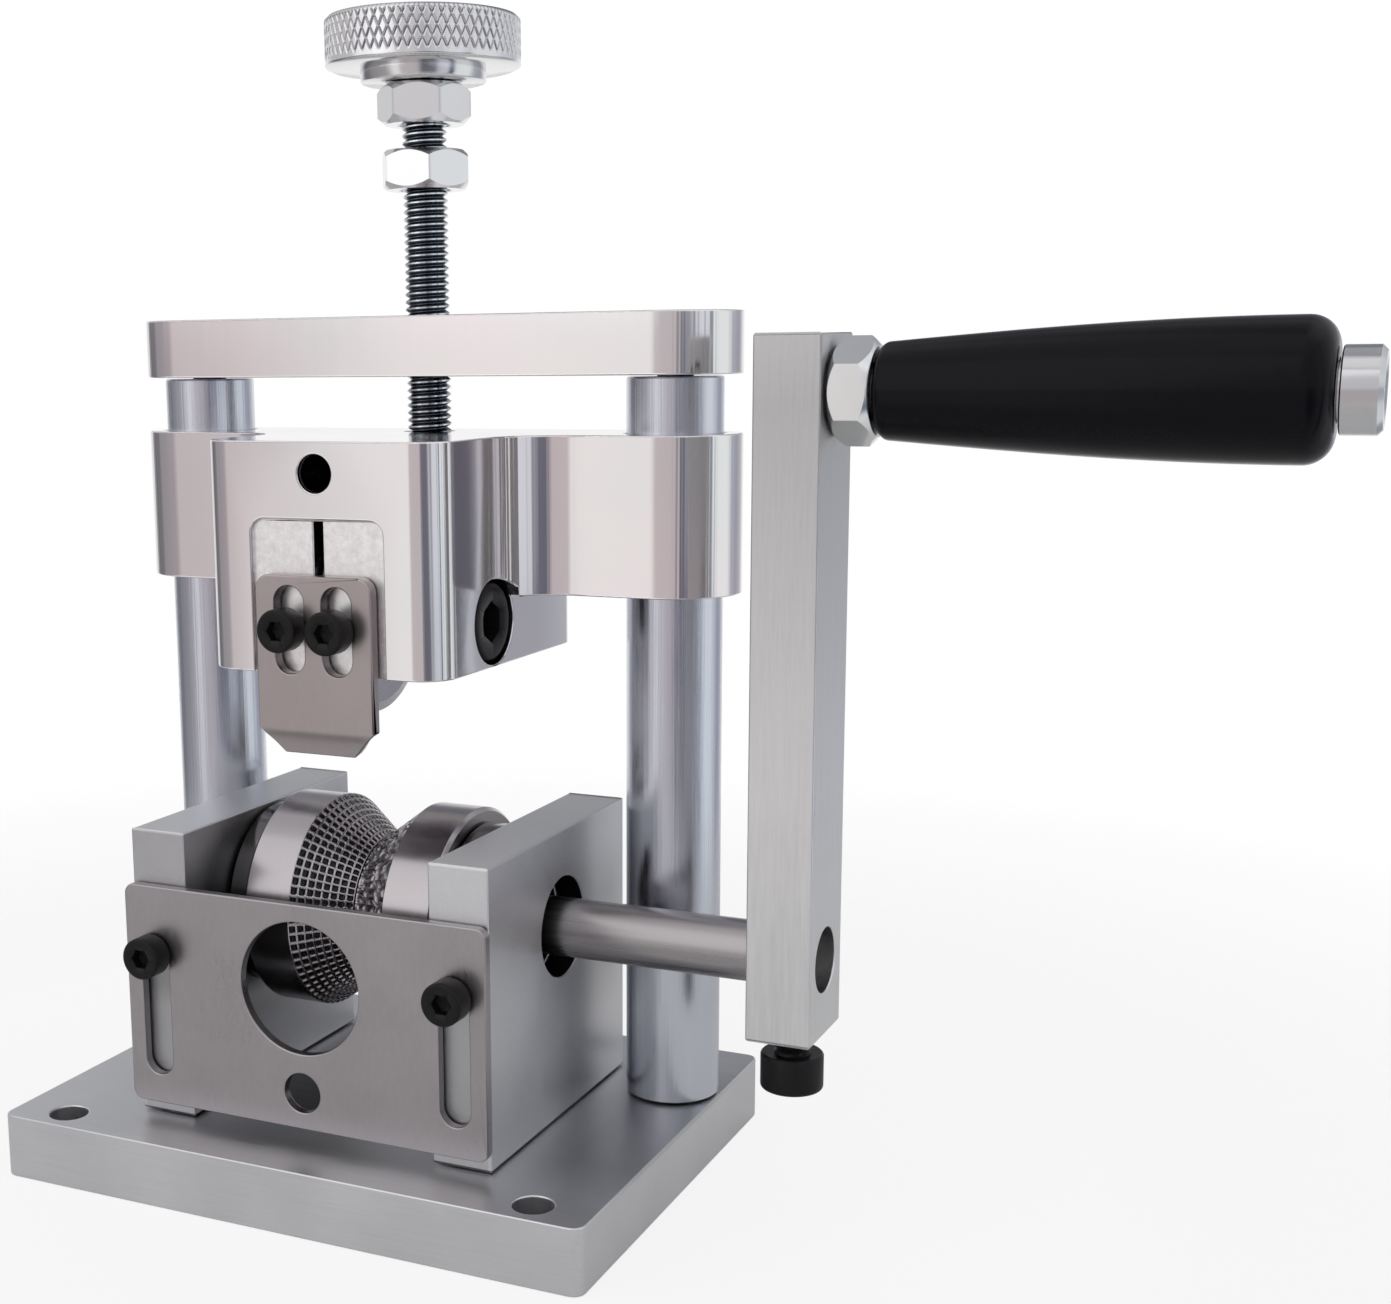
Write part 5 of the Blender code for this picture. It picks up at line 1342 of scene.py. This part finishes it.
class STRIPPER_OT_carriage(Operator):
    """Makes the carriage: a T-shaped outline carried down, with the space under its wings, the
    post bores, the guide's pocket, the blade's slit and the screw holes carved out."""

    bl_idname = "stripper.carriage"
    bl_label = "Carriage"

    def execute(self, context):
        sizes = context.scene.carriage_sizes
        carriage = Spot("carriage")
        low, high = carriage.low, carriage.high
        post = Spot("post_right").middle
        half, corner, fillet = sizes.nose_half, sizes.nose_corner, sizes.nose_fillet
        wing_front = post[1] - sizes.end_radius
        outline = mirrored(np.vstack((
            arc((half - corner, low[1] + corner), corner, -90, 0, 16),
            arc((half + fillet, wing_front - fillet), fillet, 180, 90, 20),
            arc(post[:2], sizes.end_radius, -90, 90, 48),
        )))
        outline[:, 0] = np.clip(outline[:, 0], low[0], high[0])
        cutters = under_wings(sizes, low, high, post, wing_front) + nose_cuts(sizes, low, high)
        surface = slab(outline, low[2], high[2])
        edge = context.scene.slab_sizes.bright_edge
        add_piece("carriage", surface, "milled", SHARP, edge, cutters)
        return {"FINISHED"}


def under_wings(sizes, low, high, post, wing_front):
    """Cutters below the two wings, and the bores for the posts."""
    half, rear = sizes.nose_half, sizes.nose_rear
    wing = high[2] - sizes.wing_height
    front, far, back = wing_front - sizes.nose_fillet, high[0] + OVERRUN, high[1] + OVERRUN
    outline = np.vstack((
        [(half, front), (far, front), (far, back), (half - rear, back)],
        arc((half - rear, high[1] - rear), rear, 90, 0, 8),
    ))
    cutters = []
    for _, sign in SIDES:
        shape = outline if sign > 0 else outline[::-1] * (-1, 1)
        cutters.append(slab(shape, low[2] - OVERRUN, wing))
        start = (sign * post[0], post[1], 0)
        cutters.append(rod(sizes.post_bore, wing - OVERRUN, high[2] + OVERRUN, "z", start, 128))
    return cutters


def nose_cuts(sizes, low, high):
    """Cutters for the nose: pocket, slit, pin hole, lead bore and the axle's bores."""
    front = low[1] - OVERRUN
    blade, axle = Spot("round_blade"), Spot("blade_axle")
    lead = Spot("lead_screw").middle[1]
    half, slit_half = sizes.pocket_half, sizes.slit_half
    slit_top = blade.high[2] + sizes.slit_lap
    pocket = rounded(
        (-half, low[2] - sizes.pocket_overrun), (half, slit_top + sizes.pocket_lap),
        sizes.pocket_corner,
    )
    slit = rounded((-slit_half, low[2] - OVERRUN), (slit_half, slit_top), HAIRLINE, 1)
    seat = axle.high[0] - CAP_SCREWS["blade_axle"][3] - PLAY
    start = (0, *blade.middle[1:])
    return [
        front_slab(pocket, front, low[1] + sizes.pocket_depth),
        front_slab(slit, front, blade.high[1] + sizes.slit_behind),
        rod(sizes.pin_hole, front, lead, "y", (0, 0, Spot("lead_pin").middle[2]), 64),
        rod(sizes.lead_bore, high[2] - sizes.lead_bore_depth, high[2] + OVERRUN, "z", (0, lead, 0)),
        rod(sizes.axle_sink, seat, sizes.nose_half + OVERRUN, "x", start, 96),
        rod(sizes.axle_bore, axle.low[0] - PLAY, seat + 2 * OVERRUN, "x", start),
    ]


class STRIPPER_OT_round_blade(Operator):
    """Makes the round blade: a disc ground to a bevel on both sides."""

    bl_idname = "stripper.round_blade"
    bl_label = "Round blade"

    def execute(self, context):
        sizes = context.scene.carriage_sizes
        blade = Spot("round_blade")
        r, width, bore, bevel = blade.radius("x"), blade.size[0], 0.0044, sizes.blade_bevel
        near, far = width * 3 / 8, width * 5 / 8
        profile = [(0, bore), (0, r - bevel), (near, r), (far, r), (width, r - bevel), (width, bore)]
        add_turned("round_blade", "x", profile, "blade", 192, True, 12)
        return {"FINISHED"}


class STRIPPER_OT_guide_plate(Operator):
    """Makes the wire guide: a sheet with two slots whose lip is bent back."""

    bl_idname = "stripper.guide_plate"
    bl_label = "Wire guide"

    def execute(self, context):
        sizes = context.scene.carriage_sizes
        half, _, top = Spot("guide_plate").high
        screw = Spot("guide_screw_right")
        front = screw.low[1] + CAP_SCREWS["guide_screw_right"][3] + PLAY
        back = front + sizes.guide_thickness
        slot_top = top - sizes.guide_slot_top
        slot_bottom = slot_top - sizes.guide_slot_length
        bottom = slot_bottom - sizes.guide_below_slot
        r = sizes.guide_corner
        outline = mirrored(np.vstack((
            [(sizes.guide_lip / 2, bottom), (half, bottom + sizes.guide_chamfer)],
            arc((half - r, top - r), r, 0, 90, 10),
        )))
        shapes = [
            slot(sign * screw.middle[0], slot_bottom, slot_top, sizes.guide_slot)
            for _, sign in SIDES
        ]
        cutters = [front_slab(shape, front - OVERRUN, back + OVERRUN) for shape in shapes]

        def bend(mesh):
            line = bottom + sizes.guide_bend
            bend_back(mesh, line, front, sizes.guide_bend_radius, sizes.guide_bend_angle)

        edge = context.scene.slab_sizes.sheet_edge
        surface = front_slab(outline, front, back)
        add_piece("guide_plate", surface, "guide", SHARP, edge, cutters, bend)
        return {"FINISHED"}


def bend_back(mesh, line, front, radius, lean):
    """Leans what lies below a line backwards: the slope grows evenly over a short stretch at
    the line, eases off again below it, and each height is carried along the bent sheet."""
    stretch, ease = 2 * radius, 0.55
    levels = line + radius * np.linspace(1, -3, 17)
    bm = bmesh.new()
    bm.from_mesh(mesh)
    for level in levels:
        everything = bm.verts[:] + bm.edges[:] + bm.faces[:]
        bmesh.ops.bisect_plane(bm, geom=everything, plane_co=(0, 0, level), plane_no=(0, 0, 1))
    bm.to_mesh(mesh)
    bm.free()
    points = np.empty(len(mesh.vertices) * 3, np.float32)
    mesh.vertices.foreach_get("co", points)
    points = points.reshape(-1, 3).astype(float)
    down = np.clip(levels[0] - points[:, 2], 0, None)
    path = np.linspace(0, down.max() + HAIRLINE, 400)
    bent, eased = np.clip((path / stretch, path / stretch - 1), 0, 1)
    slope = lean * bent * (1 - ease * eased)
    drop, back = (
        np.concatenate(([0], np.cumsum(part[:-1] * path[1])))
        for part in (np.cos(slope), np.sin(slope))
    )
    here = np.interp(down, path, slope)
    depth = points[:, 1] - front
    moving = down > 0
    z = levels[0] - np.interp(down, path, drop) + np.sin(here) * depth
    y = front + np.interp(down, path, back) + np.cos(here) * depth
    points[moving, 1:] = np.column_stack((y, z))[moving]
    mesh.vertices.foreach_set("co", points.astype(np.float32).ravel())
    mesh.update()


# The lead screw


class STRIPPER_OT_lead_screw(Operator):
    """Makes the lead screw: a wound thread above a plain necked foot."""

    bl_idname = "stripper.lead_screw"
    bl_label = "Lead screw"

    def execute(self, context):
        sizes = context.scene.turned_sizes
        screw = Spot("lead_screw")
        low, high = screw.low[2], screw.high[2]
        crest, neck_radius, edge, short = screw.radius("z"), sizes.neck_radius, 0.0006, 0.0002
        core = crest - sizes.thread_depth
        neck = Spot("lead_pin").middle[2] + sizes.neck_height / 2
        shoulder, lap = neck - sizes.neck_height, neck + OVERRUN
        wound = thread(core, crest, sizes.pitch, neck + edge, high - short)
        foot = turned([
            (low, 0), (low, crest - edge), (low + edge, crest), (shoulder, crest),
            (shoulder, neck_radius), (neck, neck_radius), (neck, core), (lap, core), (lap, 0),
        ], 64)
        surface = moved(together(wound, foot), "z", (*screw.middle[:2], 0))
        add_piece("lead_screw", surface, "thread", 40)
        return {"FINISHED"}


class STRIPPER_OT_lead_nuts(Operator):
    """Makes the jam nut under the knob and the stop nut, each turned as it was left."""

    bl_idname = "stripper.lead_nuts"
    bl_label = "Lead screw nuts"

    def execute(self, context):
        for node, turn in (("jam_nut", -11), ("stop_nut", 33)):
            add_nut(node, "z", turn, context.scene.turned_sizes)
        return {"FINISHED"}


class STRIPPER_OT_knurled_knob(Operator):
    """Makes the knob. Its side is a grid of angle and height, cut in by two sets of furrows that
    wind opposite ways and leave diamonds."""

    bl_idname = "stripper.knurled_knob"
    bl_label = "Knurled knob"

    def execute(self, context):
        sizes = context.scene.turned_sizes
        knob = Spot("knurled_knob")
        head, total = knob.radius("z"), knob.size[2]
        hub, rise, edge = sizes.knob_hub, sizes.knob_hub_height, sizes.knob_chamfer
        steps, rows = sizes.knurl_round * 14, 56
        furrow_share, soft, gap, lip, flange = 0.30, 0.0002, 0.0005, 0.0006, 0.0009
        turn = (np.arange(steps) / steps)[None, :] * sizes.knurl_round
        low, high = rise + gap, total - edge
        climb = np.linspace(low, high, rows)[:, None]
        wound = climb / sizes.knurl_lead
        nearest = np.minimum(saw(turn + wound), saw(turn - wound))
        furrow = 1 - np.clip(nearest / furrow_share, 0, 1)
        fade = np.clip(np.minimum(climb - low - lip, high - climb) / (2 * soft), 0, 1)
        dents = furrow * fade
        profile = [
            (0, 0), (0, hub - soft), (soft, hub), (rise, hub), (rise, head - flange),
            (rise + 1.5 * soft, head - soft), (climb, head - dents * sizes.knurl_depth, dents),
            (total, head - edge), (total, head - sizes.knob_rim),
            (total - soft, head - 1.2 * sizes.knob_rim), (total - soft, 0),
        ]
        add_turned("knurled_knob", "z", profile, "knurled", steps, False, 50)
        return {"FINISHED"}


# The studio


# Lamp, which is also its power's name in the settings, width and place
LAMPS = (
    ("key", 1.1, (-0.45, -0.75, 0.65)),
    ("top", 1.2, (0.05, 0.10, 0.95)),
    ("side", 0.9, (0.75, -0.35, 0.40)),
)
FLOOR_RADIUS, FLOOR_FADE_FROM, FLOOR_FADE = 0.6, 0.12, 0.20
FLOOR_GLOW = 0.82
AIM = (0.02, 0, 0.08)


class STRIPPER_OT_studio(Operator):
    """Makes the floor, the lamps, the room that the metal mirrors, and the camera."""

    bl_idname = "stripper.studio"
    bl_label = "Studio"

    def execute(self, context):
        settings = context.scene.studio_settings
        add_floor(settings)
        for name, size, place in LAMPS:
            add_lamp(name + " lamp", getattr(settings, name), size, place)
        light_room(context.scene, settings)
        add_camera(context.scene, settings)
        context.scene.view_settings.view_transform = "Standard"
        return {"FINISHED"}


def add_floor(settings):
    """A round pale floor that fades into the white around it, and keeps the shadow."""
    under, top = -2 * HAIRLINE, -HAIRLINE
    surface = rod(FLOOR_RADIUS, under, top, steps=96)
    floor = bpy.data.objects.new("floor", mesh_of("floor", surface))
    bpy.context.scene.collection.objects.link(floor)
    material, shading, _ = new_material("floor")
    material.node_tree.nodes.clear()
    matt = shading.node("ShaderNodeBsdfDiffuse", None, {"Color": as_colour(settings.floor)})
    glow = shading.node("ShaderNodeEmission", None, {"Color": (1, 1, 1, 1), "Strength": 1.0})
    clear = shading.node("ShaderNodeBsdfTransparent")
    seen = shading.node("ShaderNodeLightPath", output="Is Camera Ray")
    lit = shading.node("ShaderNodeMixShader", None, {0: seen * FLOOR_GLOW, 1: matt, 2: glow})
    where = shading.place((1, 1, 0.0001), (0, 0, 0))
    away = shading.node("ShaderNodeVectorMath", {"operation": "LENGTH"}, {0: where}, "Value")
    edge = ((away - FLOOR_FADE_FROM) / FLOOR_FADE).clipped()
    whole = shading.node("ShaderNodeMixShader", None, {0: edge, 1: lit, 2: clear})
    shading.node("ShaderNodeOutputMaterial", None, {"Surface": whole})
    floor.data.materials.append(material)


def add_lamp(name, power, size, place):
    """A soft square lamp that faces the middle of the object."""
    lamp = bpy.data.lights.new(name, "AREA")
    lamp.energy = power
    lamp.size = size
    holder = bpy.data.objects.new(name, lamp)
    holder.location = place
    towards = Vector(AIM) - Vector(place)
    holder.rotation_euler = towards.to_track_quat("-Z", "Y").to_euler()
    bpy.context.scene.collection.objects.link(holder)


# The walls round the object by angle from the front, in degrees towards the right
WALLS = (
    (-180, (0.42, 0.43, 0.47)),
    (-120, (0.20, 0.20, 0.22)),
    (-96, (0.18, 0.18, 0.20)),
    (-76, (0.34, 0.33, 0.35)),
    (-44, (0.42, 0.39, 0.41)),
    (-35, (0.72, 0.67, 0.68)),
    (-29, (1.00, 0.98, 0.97)),
    (-19, (1.00, 0.99, 0.98)),
    (-13, (0.64, 0.58, 0.59)),
    (18, (0.62, 0.56, 0.58)),
    (26, (0.15, 0.15, 0.19)),
    (50, (0.20, 0.20, 0.25)),
    (58, (0.62, 0.64, 0.70)),
    (76, (0.72, 0.75, 0.82)),
    (80, (0.12, 0.14, 0.22)),
    (86, (0.14, 0.17, 0.25)),
    (91, (0.94, 0.98, 1.00)),
    (122, (0.96, 1.00, 1.00)),
    (136, (0.48, 0.49, 0.57)),
    (150, (0.40, 0.41, 0.47)),
    (180, (0.42, 0.43, 0.47)),
)

# The ceiling by the same angle
CEILING = (
    (-180, (0.22, 0.23, 0.26)),
    (-158, (0.10, 0.11, 0.13)),
    (-148, (0.20, 0.21, 0.24)),
    (-136, (0.85, 0.85, 0.87)),
    (150, (0.92, 0.93, 0.96)),
    (180, (0.22, 0.23, 0.26)),
)


def light_room(scene, settings):
    """White to the camera, and white to metal that mirrors the low wall behind the object.

    Elsewhere metal mirrors walls of the given tones, which grow paler from the horizon up, and
    everything else gets a plain light."""
    world = bpy.data.worlds.new("studio")
    scene.world = world
    world.use_nodes = True
    tree = world.node_tree
    tree.nodes.clear()
    shading = Shading(tree)
    way = shading.node("ShaderNodeTexCoord", output="Generated")
    x, y, height = shading.axes(way)
    turn = shading.node("ShaderNodeMath", {"operation": "ARCTAN2"}, {0: x, 1: y * -1})
    around = turn / (2 * pi) + 0.5
    pale = ((height - 0.01) / 0.09).clipped() * 0.65
    walls = shading.blend(pale, shading.ramp(around, WALLS), shading.ramp(around, CEILING))
    ahead = x * -0.445 + y * 0.895
    behind = ((ahead - 0.66) / 0.2).clipped() * (1 - (height - 0.14) / 0.14).clipped()
    path = tree.nodes.new("ShaderNodeLightPath")
    seen = Signal(tree, path.outputs["Is Camera Ray"])
    mirrored = Signal(tree, path.outputs["Is Glossy Ray"])
    through = Signal(tree, path.outputs["Is Transmission Ray"])
    plain = tinted((1, 1, 1), settings.room)
    tone = shading.blend(mirrored, plain, walls)
    white = (seen + through + mirrored * behind).clipped()
    tone = shading.blend(white, tone, (1, 1, 1))
    light = shading.node("ShaderNodeBackground", None, {"Color": tone, "Strength": 1.0})
    shading.node("ShaderNodeOutputWorld", None, {"Surface": light})


def add_camera(scene, settings):
    """The camera at the photograph's viewing angle."""
    camera = bpy.data.cameras.new("camera")
    camera.lens = settings.lens
    camera.sensor_width = 36
    camera.sensor_fit = "HORIZONTAL"
    camera.shift_x = settings.shift_x
    camera.shift_y = settings.shift_y
    camera.clip_start = 0.01
    y, p, r = settings.yaw, settings.pitch, settings.roll
    forward = Vector((-sin(y) * cos(p), cos(y) * cos(p), -sin(p)))
    right = Vector((cos(y), sin(y), 0))
    up = right.cross(forward)
    across = cos(r) * right + sin(r) * up
    upward = cos(r) * up - sin(r) * right
    holder = bpy.data.objects.new("camera", camera)
    turn = Matrix((across, upward, -forward)).transposed().to_4x4()
    holder.matrix_world = Matrix.Translation(settings.camera) @ turn
    scene.collection.objects.link(holder)
    scene.camera = holder


# Panel, registration and the run


PIECES = (
    STRIPPER_OT_base_plate,
    STRIPPER_OT_posts,
    STRIPPER_OT_top_bridge,
    STRIPPER_OT_cheeks,
    STRIPPER_OT_bearings,
    STRIPPER_OT_front_guard,
    STRIPPER_OT_cap_screws,
    STRIPPER_OT_set_screws,
    STRIPPER_OT_crank_shaft,
    STRIPPER_OT_wheels,
    STRIPPER_OT_crank_arm,
    STRIPPER_OT_handle,
    STRIPPER_OT_carriage,
    STRIPPER_OT_round_blade,
    STRIPPER_OT_guide_plate,
    STRIPPER_OT_lead_screw,
    STRIPPER_OT_lead_nuts,
    STRIPPER_OT_knurled_knob,
    STRIPPER_OT_studio,
)


class STRIPPER_PT_pieces(Panel):
    """The pieces and their sizes in the 3D view's sidebar."""

    bl_label = "Wire stripper"
    bl_space_type = "VIEW_3D"
    bl_region_type = "UI"
    bl_category = "Stripper"

    def draw(self, context):
        for operator in PIECES:
            self.layout.operator(operator.bl_idname)
        for name, group in GROUPS.items():
            box = self.layout.box()
            for prop in group.__annotations__:
                box.prop(getattr(context.scene, name), prop)


def register():
    for group in GROUPS.values():
        bpy.utils.register_class(group)
    for name, group in GROUPS.items():
        setattr(bpy.types.Scene, name, PointerProperty(type=group))
    for operator in (*PIECES, STRIPPER_PT_pieces):
        bpy.utils.register_class(operator)


def unregister():
    for operator in (STRIPPER_PT_pieces, *reversed(PIECES)):
        bpy.utils.unregister_class(operator)
    for name, group in GROUPS.items():
        delattr(bpy.types.Scene, name)
        bpy.utils.unregister_class(group)


def main():
    register()
    for operator in PIECES:
        family, name = operator.bl_idname.split(".")
        getattr(getattr(bpy.ops, family), name)()


if __name__ == "__main__":
    main()
